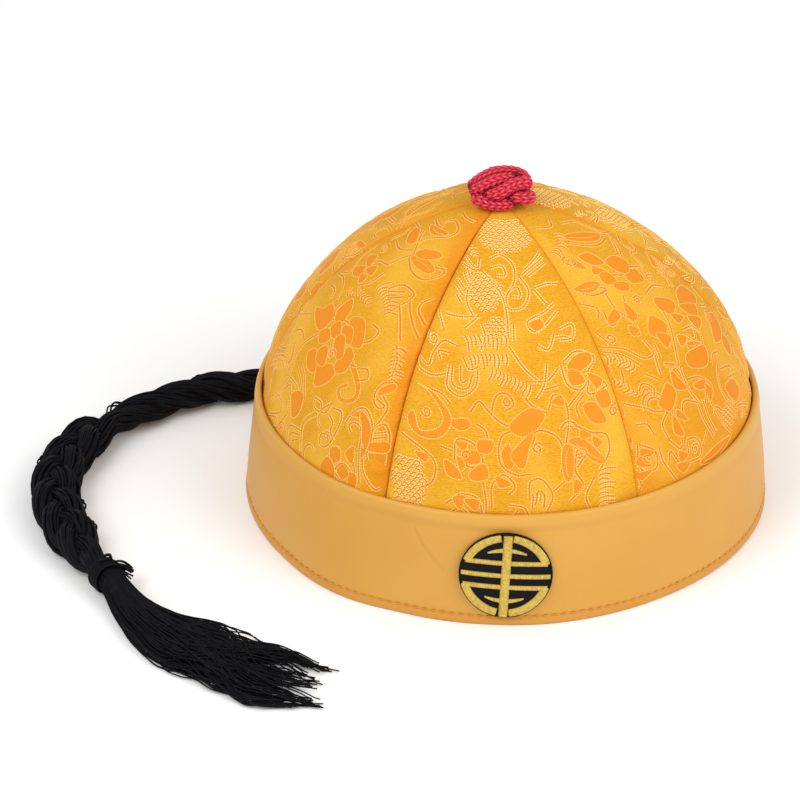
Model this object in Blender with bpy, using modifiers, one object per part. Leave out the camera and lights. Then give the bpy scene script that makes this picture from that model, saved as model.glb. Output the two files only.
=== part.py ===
"""A Chinese skullcap: six brocade gores, a satin band, a cord button, a round badge and a queue.

Units are metres, +Z is up, the front of the hat faces -Y. The origin is on the surface that the
hat stands on, at the middle of its band.
"""

import math

import bmesh
import bpy
import numpy as np
from mathutils import Vector

MM = 0.001
GAP = 0.3 * MM
CHANNEL_GAP = 0.5 * MM
WELD = 0.01 * MM
SHARP_ANGLE = 40.0
SAMPLES_PER_SPAN = 24

# Band: a satin strip that leans in towards its top, turned in under the hem and up inside
BAND_HEIGHT = 42.0 * MM
BAND_FOOT_RADIUS = 95.0 * MM
BAND_TOP_RADIUS = 90.6 * MM
BAND_WALL = 2.0 * MM
BAND_BELLY = 0.5 * MM
HEM_THICKNESS = 1.7 * MM
HEM_ROUNDING = 0.9 * MM
TURN_UP_WALL = 1.3 * MM
TURN_UP_HEIGHT = 11.0 * MM
BAND_STATIONS = 84
# Where the band stands in or out of a true circle: azimuth, half width and size at the hem
BAND_WAVES = (
    {"azimuth": -131.0, "half_width": 20.0, "out": 1.7 * MM},
    {"azimuth": -52.0, "half_width": 34.0, "out": -1.0 * MM},
    {"azimuth": 150.0, "half_width": 40.0, "out": 0.8 * MM},
    {"azimuth": 40.0, "half_width": 36.0, "out": -0.7 * MM},
)
WAVE_LEFT_AT_TOP = 0.4
# The hem arches over the queue's root at the middle of the back
ARCH_HEIGHT = 7.0 * MM
ARCH_HALF_WIDTH = 24.0 * MM
CROWN_ARCH_HALF_WIDTH = 35.0 * MM
BACK = 90.0

# Crown: a dome of six gores whose radius shrinks as (1 - s^p)^(1/q), s running up from its foot
GORES = 6
FIRST_SEAM = -120.0
CROWN_WALL = 1.5 * MM
CROWN_FOOT = 40.0 * MM
CROWN_TOP = 119.0 * MM
CROWN_RADIUS = 88.0 * MM
DOME_P = 1.74
DOME_Q = 1.65
APEX_HOLE = 3.0 * MM
CROWN_LEAN = Vector((-3.0 * MM, -3.0 * MM, 0.0))
# How deep each seam sinks, anticlockwise from the one at the left of the front gore
SEAM_DEPTHS = (2.7 * MM, 1.5 * MM, 1.8 * MM, 1.8 * MM, 1.8 * MM, 1.8 * MM)
SEAM_REACH = 4.5 * MM
SEAM_GAP = 0.36 * MM
# A seam has this share of its depth at the band, all of it from a share of the height on, and
# loses it again where the crown's radius gets small
SEAM_DEPTH_AT_BAND = 0.35
SEAM_FULL_HEIGHT = 0.45
SEAM_FULL_RADIUS = 31.0 * MM
GORE_COLUMNS = 10
DOME_ROWS = 12
TUCKED_ROWS = 3

# Button: cord strands laid over a core. Points are from the button's middle, in millimetres
BUTTON_CENTRE = Vector((-2.9, -2.9, 124.0)) * MM
BUTTON_CORE = Vector((9.6, 6.9, 4.3)) * MM
BUTTON_CORD = 5.2 * MM
STRAND_STEP = 2.2
STRAND_END = 0.8
BUTTON_STRANDS = {
    "top": ((-10.2, -0.6, -0.6), (-6.6, 1.0, 3.0), (-0.5, 1.7, 4.9), (5.8, 1.2, 4.2), (9.3, 0.0, 0.6)),
    "shoulder": ((-9.8, -2.2, -1.2), (-6.2, -3.4, 1.8), (-1.2, -3.2, 3.9), (4.6, -1.4, 4.1)),
    "lobe": ((-5.6, -4.0, -1.6), (-3.2, -6.8, 0.5), (0.8, -6.6, 2.1), (4.8, -4.6, 3.4), (8.8, -1.2, 2.4)),
    "lower_loop": ((-8.4, -0.6, -2.2), (-7.0, -5.0, -2.0), (-2.4, -6.9, -2.4), (3.2, -6.8, -2.6)),
    "side_lobe": ((1.8, -5.6, -0.4), (5.6, -6.4, -0.4), (9.2, -4.0, -1.2), (9.2, -0.2, -2.0)),
    "back_lobe": ((5.6, 4.2, -1.6), (3.2, 6.4, 0.5), (-0.8, 6.4, 2.1), (-5.2, 4.4, 3.0)),
    "back_loop": ((9.2, 0.8, -1.6), (6.8, 5.0, -2.0), (2.4, 6.7, -2.4), (-3.2, 6.6, -2.6)),
    "back_side": ((-1.8, 5.6, -0.6), (-5.8, 6.0, -0.6), (-8.8, 3.4, -1.2), (-8.8, -0.6, -1.8)),
}

# Badge: flat sizes, as fractions of its radius where they are not lengths
BADGE_RADIUS = 16.2 * MM
BADGE_CENTRE_HEIGHT = 20.2 * MM
BADGE_AZIMUTH = -91.3
BADGE_TURN = -3.0
BADGE_CELLS = 8
BADGE_GROUND = 1.1 * MM
BADGE_FIGURE = 0.9 * MM
FIGURE_BARS = {
    "upright": {"across": 0.0, "up": 0.0, "half_width": 0.09, "half_height": 0.97},
    "top_bar": {"across": 0.0, "up": 0.31, "half_width": 0.86, "half_height": 0.065},
    "middle_bar": {"across": 0.0, "up": 0.03, "half_width": 0.92, "half_height": 0.065},
    "low_bar": {"across": 0.0, "up": -0.23, "half_width": 0.88, "half_height": 0.065},
}
FIGURE_ARC_OUTER = 0.93
FIGURE_ARC_INNER = 0.77
FIGURE_ARCS = {
    "right_top": (20.0, 82.0),
    "left_top": (98.0, 160.0),
    "left_foot": (194.0, 262.0),
    "right_foot": (278.0, 346.0),
}
CRESCENT_UP = 0.55
CRESCENT_HALF_SPAN = 0.42
CRESCENT_DEPTH = 0.11
CRESCENT_SAG = 0.10
CRESCENT_TIP = 0.25
BAR_CELLS_ACROSS = 10
BAR_CELLS_UP = 8
ARC_POINTS = 9

# Queue: the route of its middle line on the surface, out of the back and round to the left front
QUEUE_HANK_RADIUS = 6.2 * MM
QUEUE_PLAIT_RADIUS = 8.8 * MM
QUEUE_NECK_RADIUS = 4.9 * MM
PLAIT_START = 185.0 * MM
PLAIT_FULL = 215.0 * MM
NECK_LENGTH = 30.0 * MM
QUEUE_STEP = 12.0 * MM
QUEUE_ROUTE = (
    (0.0, 104.0), (-2.5, 112.0), (-11.0, 121.0), (-24.0, 124.5), (-37.0, 119.0), (-48.0, 108.5),
    (-57.5, 96.0), (-66.0, 84.0), (-75.0, 73.5), (-85.0, 65.5), (-97.0, 61.5), (-109.0, 59.5),
    (-119.5, 54.5), (-130.0, 47.5), (-140.5, 38.5), (-150.0, 28.0), (-157.5, 15.0), (-162.3, 1.0),
    (-164.0, -13.0), (-162.5, -27.0), (-158.5, -41.0), (-152.8, -54.5), (-146.3, -66.0), (-141.0, -74.0),
)
ROOT_WIDTH = 20.0 * MM
ROOT_THICKNESS = 4.8 * MM
ROOT_INNER_END = 76.0 * MM
ROOT_STATIONS = 8
ROOT_SIDES = 16
TIE_LENGTH = 5.0 * MM
TIE_WALL = 1.0 * MM
TIE_TURNS = 3
TIE_SIDES = 16

# Tassel: locks that fan out from a head, along the queue's own direction and then to the right
TASSEL_ROUTE = (
    (-141.0, -74.0), (-134.8, -84.2), (-128.5, -94.3), (-121.1, -103.0), (-113.1, -110.8),
    (-104.9, -118.0), (-96.1, -124.6), (-87.4, -130.4), (-78.7, -135.0), (-70.0, -138.4), (-58.0, -141.0),
)
TASSEL_HEAD_RADIUS = 5.2 * MM
TASSEL_LOCKS = (
    {"side": -1.00, "length": 0.84, "radius": 3.4 * MM, "lift": 3.5 * MM},
    {"side": -0.62, "length": 0.93, "radius": 4.0 * MM, "lift": 4.1 * MM},
    {"side": -0.22, "length": 1.00, "radius": 4.3 * MM, "lift": 4.4 * MM},
    {"side": 0.22, "length": 0.97, "radius": 4.3 * MM, "lift": 4.4 * MM},
    {"side": 0.62, "length": 0.90, "radius": 4.0 * MM, "lift": 4.1 * MM},
    {"side": 1.00, "length": 0.80, "radius": 3.4 * MM, "lift": 3.5 * MM},
    {"side": -0.40, "length": 0.80, "radius": 3.8 * MM, "lift": 8.2 * MM},
    {"side": 0.30, "length": 0.84, "radius": 3.8 * MM, "lift": 8.6 * MM},
)
TASSEL_SPREAD = 10.5 * MM
TASSEL_CLEARANCE = 0.15 * MM
# The fan is this share open at the neck, and fully open at this share of the length
FAN_AT_NECK = 0.18
FAN_FULL_AT = 0.6
LOCK_START = 4.0 * MM
LOCK_STEP = 10.0 * MM
LOCK_TIP = 0.5

# Materials: linear base colour and roughness
COLOURS = {
    "brocade": {"base": (0.86, 0.44, 0.035), "rough": 0.45},
    "satin": {"base": (0.80, 0.45, 0.10), "rough": 0.50},
    "cord": {"base": (0.50, 0.02, 0.045), "rough": 0.75},
    "badge_cloth": {"base": (0.012, 0.014, 0.012), "rough": 0.85},
    "gold_thread": {"base": (0.62, 0.47, 0.07), "rough": 0.45},
    "yarn": {"base": (0.010, 0.010, 0.013), "rough": 0.80},
}


def clear_scene():
    for obj in list(bpy.data.objects):
        bpy.data.objects.remove(obj, do_unlink=True)


def new_collection(name):
    collection = bpy.data.collections.new(name)
    bpy.context.scene.collection.children.link(collection)
    return collection


def new_material(name, base, rough):
    material = bpy.data.materials.new(name)
    material.use_nodes = True
    shader = material.node_tree.nodes["Principled BSDF"]
    shader.inputs["Base Color"].default_value = (*base, 1.0)
    shader.inputs["Roughness"].default_value = rough
    material.diffuse_color = (*base, 1.0)
    return material


def add_mesh(name, vertices, faces, collection, material):
    mesh = bpy.data.meshes.new(name)
    mesh.from_pydata([tuple(vertex) for vertex in vertices], [], faces)
    mesh.materials.append(material)
    mesh.shade_smooth()
    mesh.set_sharp_from_angle(angle=math.radians(SHARP_ANGLE))
    obj = bpy.data.objects.new(name, mesh)
    collection.objects.link(obj)
    return obj


def add_bmesh(name, shape, collection, material):
    bmesh.ops.recalc_face_normals(shape, faces=shape.faces)
    mesh = bpy.data.meshes.new(name)
    shape.to_mesh(mesh)
    shape.free()
    mesh.materials.append(material)
    mesh.shade_smooth()
    mesh.set_sharp_from_angle(angle=math.radians(SHARP_ANGLE))
    obj = bpy.data.objects.new(name, mesh)
    collection.objects.link(obj)
    return obj


def smooth_curve(points, step):
    """Catmull-Rom curve through the points, read off at even steps of its length."""
    knots = np.array(points, float)
    before = 2.0 * knots[:1] - knots[1:2]
    after = 2.0 * knots[-1:] - knots[-2:-1]
    padded = np.vstack([before, knots, after])
    share = np.linspace(0.0, 1.0, SAMPLES_PER_SPAN, endpoint=False)[:, None]
    spans = []
    for first, start, end, last in zip(padded[:-3], padded[1:-2], padded[2:-1], padded[3:]):
        square = share * share
        cube = square * share
        spans.append(0.5 * (
            2.0 * start
            + (end - first) * share
            + (2.0 * first - 5.0 * start + 4.0 * end - last) * square
            + (3.0 * start - first - 3.0 * end + last) * cube
        ))
    dense = np.vstack(spans + [knots[-1:]])
    run = np.concatenate([[0.0], np.cumsum(np.linalg.norm(np.diff(dense, axis=0), axis=1))])
    count = max(2, round(run[-1] / step) + 1)
    even = np.linspace(0.0, run[-1], count)
    return np.column_stack([np.interp(even, run, dense[:, axis]) for axis in range(dense.shape[1])]), even


def tube(name, points, radii, depth, resolution, collection, material):
    """A capped tube through the points; each radius is a share of the bevel depth."""
    curve = bpy.data.curves.new(name, "CURVE")
    curve.dimensions = "3D"
    curve.bevel_depth = depth
    curve.bevel_resolution = resolution
    curve.use_fill_caps = True
    spline = curve.splines.new("POLY")
    spline.points.add(len(points) - 1)
    for spot, point, radius in zip(spline.points, points, radii):
        spot.co = (*point, 1.0)
        spot.radius = radius / depth
    curve.materials.append(material)
    obj = bpy.data.objects.new(name, curve)
    collection.objects.link(obj)
    return obj


def meshed(curve_object, collection):
    """The curve as a closed mesh, its caps welded to its sides."""
    graph = bpy.context.evaluated_depsgraph_get()
    mesh = bpy.data.meshes.new_from_object(curve_object.evaluated_get(graph))
    name = curve_object.name
    matrix = curve_object.matrix_world.copy()
    bpy.data.objects.remove(curve_object, do_unlink=True)
    shape = bmesh.new()
    shape.from_mesh(mesh)
    bmesh.ops.remove_doubles(shape, verts=shape.verts, dist=WELD)
    bmesh.ops.recalc_face_normals(shape, faces=shape.faces)
    shape.to_mesh(mesh)
    shape.free()
    obj = bpy.data.objects.new(name, mesh)
    obj.matrix_world = matrix
    collection.objects.link(obj)
    return obj


def join_all(target, others, cutters):
    """Boolean unions that make one body of the target and the others."""
    for other in others:
        union = target.modifiers.new("join_" + other.name, "BOOLEAN")
        union.operation = "UNION"
        union.object = other
        other.hide_render = True
        other.display_type = "WIRE"
        if other.name not in cutters.objects:
            cutters.objects.link(other)


def band_wave(azimuth, height):
    """How far the band stands out of its circle, as smooth cos^2 waves that fade towards the top."""
    out = 0.0
    for wave in BAND_WAVES:
        away = (azimuth - wave["azimuth"] + 180.0) % 360.0 - 180.0
        if abs(away) < wave["half_width"]:
            out += wave["out"] * math.cos(math.radians(90.0 * away / wave["half_width"])) ** 2
    share = min(1.0, max(0.0, height / BAND_HEIGHT))
    return out * (1.0 - (1.0 - WAVE_LEFT_AT_TOP) * share)


def band_radius(azimuth, height):
    """Outer radius of the band: a straight lean, a slight belly and the plan's waves."""
    share = height / BAND_HEIGHT
    lean = BAND_FOOT_RADIUS + (BAND_TOP_RADIUS - BAND_FOOT_RADIUS) * share
    belly = BAND_BELLY * 4.0 * share * (1.0 - share)
    return lean + belly + band_wave(azimuth, height)


def arch_lift(azimuth, half_width):
    """Height of the hem above the surface, a cos^2 arch at the middle of the back."""
    away = math.radians((azimuth - BACK + 180.0) % 360.0 - 180.0) * BAND_FOOT_RADIUS
    if abs(away) >= half_width:
        return 0.0
    return ARCH_HEIGHT * math.cos(0.5 * math.pi * away / half_width) ** 2


def lifted(azimuth, height, half_width=ARCH_HALF_WIDTH):
    """The arch raises the hem most and the band's top not at all."""
    return height + arch_lift(azimuth, half_width) * (1.0 - height / BAND_HEIGHT) ** 2


def on_circle(azimuth, radius, height):
    angle = math.radians(azimuth)
    return Vector((radius * math.cos(angle), radius * math.sin(angle), height))


def band_section():
    """Closed outline of the band's cross-section: height, and depth in from the outer face."""
    top = BAND_HEIGHT
    fold = 0.5 * BAND_WALL
    channel = BAND_WALL + 2.0 * CHANNEL_GAP + CROWN_WALL
    back = channel + TURN_UP_WALL
    outer = [(HEM_ROUNDING, 0.0)] + [(top * share, 0.0) for share in (0.33, 0.67)]
    round_top = [
        (top - fold + fold * math.sin(turn), fold - fold * math.cos(turn))
        for turn in (math.radians(angle) for angle in (0.0, 45.0, 90.0, 135.0, 180.0))
    ]
    inner = [(0.5 * top, BAND_WALL)]
    slot = [(HEM_THICKNESS, BAND_WALL), (HEM_THICKNESS, channel)]
    turn_up = [
        (TURN_UP_HEIGHT - 0.5 * TURN_UP_WALL, channel),
        (TURN_UP_HEIGHT, channel + 0.5 * TURN_UP_WALL),
        (TURN_UP_HEIGHT - 0.5 * TURN_UP_WALL, back),
        (HEM_ROUNDING, back),
    ]
    foot = [(0.0, back - HEM_ROUNDING), (0.0, HEM_ROUNDING)]
    return outer + round_top + inner + slot + turn_up + foot


def build_band(collection, material):
    section = band_section()
    azimuths = [360.0 * station / BAND_STATIONS for station in range(BAND_STATIONS)]
    vertices = []
    for azimuth in azimuths:
        for height, depth in section:
            radius = band_radius(azimuth, height) - depth
            vertices.append(on_circle(azimuth, radius, lifted(azimuth, height)))
    size = len(section)
    faces = []
    for station in range(BAND_STATIONS):
        here = station * size
        there = (station + 1) % BAND_STATIONS * size
        for spot in range(size):
            after = (spot + 1) % size
            faces.append((here + spot, there + spot, there + after, here + after))
    return add_mesh("band", vertices, faces, collection, material)


def seam_depth(azimuth, radius, share):
    """How far the crown sinks at this azimuth: a narrow valley along the nearer seam."""
    turn = (azimuth - FIRST_SEAM) % 360.0 / (360.0 / GORES)
    nearest = round(turn)
    away = math.radians(abs(turn - nearest) * 360.0 / GORES) * radius
    risen = math.sin(0.5 * math.pi * min(1.0, share / SEAM_FULL_HEIGHT))
    fade = SEAM_DEPTH_AT_BAND + (1.0 - SEAM_DEPTH_AT_BAND) * risen
    fade *= min(1.0, radius / SEAM_FULL_RADIUS)
    return SEAM_DEPTHS[nearest % GORES] * fade * math.exp(-away / SEAM_REACH)


def crown_point(azimuth, turn):
    """A point of the dome's outer face. turn runs from 0 at the foot to 90 degrees at the apex."""
    angle = math.radians(turn)
    share = math.sin(angle) ** (2.0 / DOME_P)
    height = CROWN_FOOT + (CROWN_TOP - CROWN_FOOT) * share
    radius = CROWN_RADIUS * math.cos(angle) ** (2.0 / DOME_Q)
    radius -= seam_depth(azimuth, radius, share)
    radius += band_wave(azimuth, BAND_HEIGHT) * (1.0 - share) ** 2
    return on_circle(azimuth, radius, height) + CROWN_LEAN * share ** 2


def tucked_point(azimuth, share):
    """A point of the crown's edge inside the band. share runs from 0 at the hem to 1 at the dome's foot."""
    low = HEM_THICKNESS + CHANNEL_GAP
    height = low + (CROWN_FOOT - low) * share
    inside = band_radius(azimuth, height) - BAND_WALL - CHANNEL_GAP
    if height > 0.5 * CROWN_FOOT:
        inside = min(inside, CROWN_RADIUS + band_wave(azimuth, BAND_HEIGHT))
    return on_circle(azimuth, inside, lifted(azimuth, height, CROWN_ARCH_HALF_WIDTH))


def build_gore(index, collection, material):
    """One gore: an open sheet of its outer face, thickened inwards."""
    span = 360.0 / GORES
    middle = FIRST_SEAM + span * (index + 0.5)
    last_turn = math.degrees(math.acos((APEX_HOLE / CROWN_RADIUS) ** (DOME_Q / 2.0)))
    vertices = []
    for row in range(TUCKED_ROWS + DOME_ROWS + 1):
        for column in range(GORE_COLUMNS + 1):
            even = 2.0 * column / GORE_COLUMNS - 1.0
            across = 0.5 * (even + math.sin(0.5 * math.pi * even))
            turn = last_turn * max(0, row - TUCKED_ROWS) / DOME_ROWS
            radius = CROWN_RADIUS * math.cos(math.radians(turn)) ** (2.0 / DOME_Q)
            half = 0.5 * span - math.degrees(0.5 * SEAM_GAP / radius)
            azimuth = middle + half * across
            if row < TUCKED_ROWS:
                vertices.append(tucked_point(azimuth, row / TUCKED_ROWS))
            else:
                vertices.append(crown_point(azimuth, turn))
    width = GORE_COLUMNS + 1
    faces = []
    for row in range(TUCKED_ROWS + DOME_ROWS):
        for column in range(GORE_COLUMNS):
            corner = row * width + column
            faces.append((corner, corner + 1, corner + width + 1, corner + width))
    obj = add_mesh(f"crown_gore_{index + 1}", vertices, faces, collection, material)
    wall = obj.modifiers.new("cloth_wall", "SOLIDIFY")
    wall.thickness = CROWN_WALL
    wall.offset = -1.0
    return obj


def build_button(collection, cutters, material):
    """The cord button: strands fused to a core."""
    shape = bmesh.new()
    bmesh.ops.create_uvsphere(shape, u_segments=16, v_segments=8, radius=1.0)
    for vertex in shape.verts:
        vertex.co = Vector(a * b for a, b in zip(vertex.co, BUTTON_CORE)) + BUTTON_CENTRE
    core = add_bmesh("crown_button", shape, collection, material)
    strands = []
    for name, points in BUTTON_STRANDS.items():
        route, _ = smooth_curve(points, STRAND_STEP)
        places = [BUTTON_CENTRE + Vector(point) * MM for point in route]
        radii = [0.5 * BUTTON_CORD] * len(places)
        radii[0] *= STRAND_END
        radii[-1] *= STRAND_END
        strand = tube("strand_" + name, places, radii, 0.5 * BUTTON_CORD, 2, cutters, material)
        strands.append(meshed(strand, cutters))
    join_all(core, strands, cutters)
    return core


def on_badge(across, up, lift):
    """The place on the band of a point given on the flat badge, that far off the band's face."""
    turn = math.radians(BADGE_TURN)
    right = across * math.cos(turn) - up * math.sin(turn)
    rise = across * math.sin(turn) + up * math.cos(turn)
    slope = math.atan2(BAND_FOOT_RADIUS - BAND_TOP_RADIUS, BAND_HEIGHT)
    height = BADGE_CENTRE_HEIGHT + rise * math.cos(slope)
    radius = band_radius(BADGE_AZIMUTH, height)
    azimuth = BADGE_AZIMUTH + math.degrees(right / radius)
    radius = band_radius(azimuth, height) + lift * math.cos(slope)
    return on_circle(azimuth, radius, height + lift * math.sin(slope))


def badge_solid(name, grid, low, high, collection, material):
    """A closed slab on the band over a grid of flat badge points, rows by columns."""
    rows, columns, _ = grid.shape
    shape = bmesh.new()
    layers = [
        [[shape.verts.new(on_badge(across, up, lift)) for across, up in line] for line in grid]
        for lift in (low, high)
    ]
    under, over = layers
    for row in range(rows - 1):
        for column in range(columns - 1):
            for layer in layers:
                shape.faces.new((
                    layer[row][column], layer[row][column + 1],
                    layer[row + 1][column + 1], layer[row + 1][column],
                ))
    border = [(0, column) for column in range(columns)]
    border += [(row, columns - 1) for row in range(1, rows)]
    border += [(rows - 1, column) for column in range(columns - 2, -1, -1)]
    border += [(row, 0) for row in range(rows - 2, 0, -1)]
    for (row, column), (next_row, next_column) in zip(border, border[1:] + border[:1]):
        shape.faces.new((
            under[row][column], under[next_row][next_column],
            over[next_row][next_column], over[row][column],
        ))
    return add_bmesh(name, shape, collection, material)


def disc_grid(radius, cells):
    """A square grid drawn out to a round outline."""
    steps = np.linspace(-1.0, 1.0, cells + 1)
    across, up = np.meshgrid(steps, steps)
    round_across = across * np.sqrt(1.0 - 0.5 * up * up)
    round_up = up * np.sqrt(1.0 - 0.5 * across * across)
    return radius * np.stack([round_across, round_up], axis=-1)


def bar_grid(bar):
    """A rectangle with enough rows and columns to follow the band's curve."""
    columns = 2 + int(bar["half_width"] * BAR_CELLS_ACROSS)
    rows = 2 + int(bar["half_height"] * BAR_CELLS_UP)
    across, up = np.meshgrid(
        bar["across"] + bar["half_width"] * np.linspace(-1.0, 1.0, columns),
        bar["up"] + bar["half_height"] * np.linspace(-1.0, 1.0, rows),
    )
    return BADGE_RADIUS * np.stack([across, up], axis=-1)


def arc_grid(start, end):
    """A part of a flat ring, from one angle to the other."""
    angles, radii = np.meshgrid(
        np.radians(np.linspace(start, end, ARC_POINTS)),
        np.array([FIGURE_ARC_INNER, FIGURE_ARC_OUTER]),
    )
    return BADGE_RADIUS * np.stack([radii * np.cos(angles), radii * np.sin(angles)], axis=-1)


def crescent_grid(side):
    """A sliver between two arcs that meet at near-points left and right."""
    along, share = np.meshgrid(np.linspace(-1.0, 1.0, ARC_POINTS), np.array([-0.5, 0.5]))
    arch = CRESCENT_UP - CRESCENT_SAG * along * along
    depth = CRESCENT_DEPTH * (1.0 - (1.0 - CRESCENT_TIP) * along * along)
    return BADGE_RADIUS * np.stack([CRESCENT_HALF_SPAN * along, side * (arch + share * depth)], axis=-1)


def build_badge(collection, cutters, cloth, thread):
    ground = badge_solid(
        "badge_ground", disc_grid(BADGE_RADIUS, BADGE_CELLS), GAP, GAP + BADGE_GROUND, collection, cloth
    )
    low = 2.0 * GAP + BADGE_GROUND
    high = low + BADGE_FIGURE
    grids = {name: bar_grid(bar) for name, bar in FIGURE_BARS.items()}
    grids.update({name: arc_grid(start, end) for name, (start, end) in FIGURE_ARCS.items()})
    grids["crescent_top"] = crescent_grid(1.0)
    grids["crescent_foot"] = crescent_grid(-1.0)
    upright = grids.pop("upright")
    figure = badge_solid("badge_figure", upright, low, high, collection, thread)
    others = [badge_solid("figure_" + name, grid, low, high, cutters, thread) for name, grid in grids.items()]
    join_all(figure, others, cutters)
    return ground, figure


def eased(share):
    """Share held between 0 and 1, with a level start and end."""
    held = min(1.0, max(0.0, share))
    return held * held * (3.0 - 2.0 * held)


def queue_radius(run, total):
    """Radius along the queue: the hank, a swell into the plait, and a narrowing to the bound neck."""
    swell = eased((run - PLAIT_START) / (PLAIT_FULL - PLAIT_START))
    radius = QUEUE_HANK_RADIUS + (QUEUE_PLAIT_RADIUS - QUEUE_HANK_RADIUS) * swell
    narrow = eased((run - (total - NECK_LENGTH - QUEUE_STEP)) / NECK_LENGTH)
    return radius + (QUEUE_NECK_RADIUS - radius) * narrow


def queue_line():
    """Points of the queue's middle line as it rests on the surface, with the radius at each."""
    route, run = smooth_curve(QUEUE_ROUTE, QUEUE_STEP / MM)
    run = run * MM
    radii = [queue_radius(distance, run[-1]) for distance in run]
    least = QUEUE_NECK_RADIUS + GAP + TIE_WALL
    points = [Vector((x * MM, y * MM, max(radius, least))) for (x, y), radius in zip(route, radii)]
    return points, radii


def build_queue_cord(collection, material):
    points, radii = queue_line()
    return tube("queue_cord", points, radii, QUEUE_PLAIT_RADIUS, 2, collection, material)


def build_queue_root(collection, material):
    """The flat stitched end: ovals that change from wide and thin inside the hem to round outside.

    The last oval is square to the cord's own first stretch, so the two meet face to face.
    """
    points, _ = queue_line()
    ahead = points[1] - points[0]
    skew = -ahead.x / ahead.y
    outer_end = QUEUE_ROUTE[0][1] * MM - GAP
    stations = np.linspace(ROOT_INNER_END, outer_end, ROOT_STATIONS)
    shape = bmesh.new()
    ovals = []
    for place in stations:
        share = eased((place - BAND_FOOT_RADIUS) / (outer_end - BAND_FOOT_RADIUS))
        half_width = 0.5 * ROOT_WIDTH * (1.0 - share) + QUEUE_HANK_RADIUS * share
        half_height = 0.5 * ROOT_THICKNESS * (1.0 - share) + QUEUE_HANK_RADIUS * share
        oval = []
        for side in range(ROOT_SIDES):
            angle = 2.0 * math.pi * side / ROOT_SIDES
            across = half_width * math.cos(angle)
            height = half_height * (1.0 + math.sin(angle))
            oval.append(shape.verts.new((across, place + share * skew * across, height)))
        ovals.append(oval)
    for near, far in zip(ovals[:-1], ovals[1:]):
        for side in range(ROOT_SIDES):
            after = (side + 1) % ROOT_SIDES
            shape.faces.new((near[side], near[after], far[after], far[side]))
    shape.faces.new(ovals[0])
    shape.faces.new(ovals[-1])
    return add_bmesh("queue_root", shape, collection, material)


def build_queue_tie(collection, material):
    """Thread wound round the neck: a sleeve with a rounded rib for each turn, turned about its axis."""
    points, _ = queue_line()
    ahead = (points[-1] - points[-2]).normalized()
    inner = QUEUE_NECK_RADIUS + GAP
    rib = 0.5 * TIE_LENGTH / TIE_TURNS
    outline = [(inner, 0.0)]
    for turn in range(TIE_TURNS):
        for angle in (0.0, 60.0, 120.0):
            away = rib * (2.0 * turn + 1.0 - math.cos(math.radians(angle)))
            outline.append((inner + 0.5 * TIE_WALL * (1.0 + math.sin(math.radians(angle))), away))
    outline.append((inner + 0.5 * TIE_WALL, TIE_LENGTH))
    outline.append((inner, TIE_LENGTH))
    shape = bmesh.new()
    start = points[-1] - ahead * TIE_LENGTH
    upward = ahead.orthogonal().normalized()
    outward = ahead.cross(upward)
    rings = []
    for side in range(TIE_SIDES):
        angle = 2.0 * math.pi * side / TIE_SIDES
        spoke = upward * math.cos(angle) + outward * math.sin(angle)
        rings.append([shape.verts.new(start + ahead * away + spoke * radius) for radius, away in outline])
    for ring, following in zip(rings, rings[1:] + rings[:1]):
        for spot in range(len(outline)):
            after = (spot + 1) % len(outline)
            shape.faces.new((ring[spot], following[spot], following[after], ring[after]))
    return add_bmesh("queue_tie", shape, collection, material)


def build_tassel(collection, cutters, material):
    """Locks that fan out from the bound neck, fused to a round head."""
    route, run = smooth_curve(TASSEL_ROUTE, LOCK_STEP / MM)
    run = run * MM
    total = run[-1]
    ahead = np.gradient(route, axis=0)
    ahead /= np.linalg.norm(ahead, axis=1)[:, None]
    aside = np.column_stack([ahead[:, 1], -ahead[:, 0]])
    shape = bmesh.new()
    bmesh.ops.create_uvsphere(shape, u_segments=12, v_segments=8, radius=TASSEL_HEAD_RADIUS)
    neck, _ = queue_line()
    middle = neck[-1] + Vector((ahead[0, 0], ahead[0, 1], 0.0)) * (TASSEL_HEAD_RADIUS + GAP)
    bmesh.ops.translate(shape, verts=shape.verts, vec=middle)
    head = add_bmesh("queue_tassel", shape, collection, material)
    locks = []
    for number, lock in enumerate(TASSEL_LOCKS):
        reach = lock["length"] * total
        count = round(reach / LOCK_STEP)
        places = []
        radii = []
        for distance in np.linspace(LOCK_START, reach, count):
            x, y, side_x, side_y = (
                np.interp(distance, run, column) for column in (*route.T, *aside.T)
            )
            share = distance / total
            opening = FAN_AT_NECK + (1.0 - FAN_AT_NECK) * min(1.0, share / FAN_FULL_AT)
            spread = TASSEL_SPREAD * lock["side"] * math.sin(0.5 * math.pi * opening)
            fullness = 1.0 - (1.0 - LOCK_TIP) * (distance / reach) ** 2
            radius = lock["radius"] * fullness
            lift = radius + (lock["lift"] - lock["radius"]) * (1.0 - share) + TASSEL_CLEARANCE
            places.append(Vector((x * MM + spread * side_x, y * MM + spread * side_y, lift)))
            radii.append(radius)
        strand = tube(f"lock_{number + 1}", places, radii, lock["radius"], 2, cutters, material)
        locks.append(meshed(strand, cutters))
    join_all(head, locks, cutters)
    return head


def main():
    clear_scene()
    parts = new_collection("chinese_skullcap")
    cutters = new_collection("cutters")
    cutters.hide_render = True
    looks = {name: new_material(name, **values) for name, values in COLOURS.items()}
    build_band(parts, looks["satin"])
    for index in range(GORES):
        build_gore(index, parts, looks["brocade"])
    build_button(parts, cutters, looks["cord"])
    build_badge(parts, cutters, looks["badge_cloth"], looks["gold_thread"])
    build_queue_root(parts, looks["yarn"])
    build_queue_cord(parts, looks["yarn"])
    build_queue_tie(parts, looks["yarn"])
    build_tassel(parts, cutters, looks["yarn"])


main()
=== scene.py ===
import math
from collections import namedtuple

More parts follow.
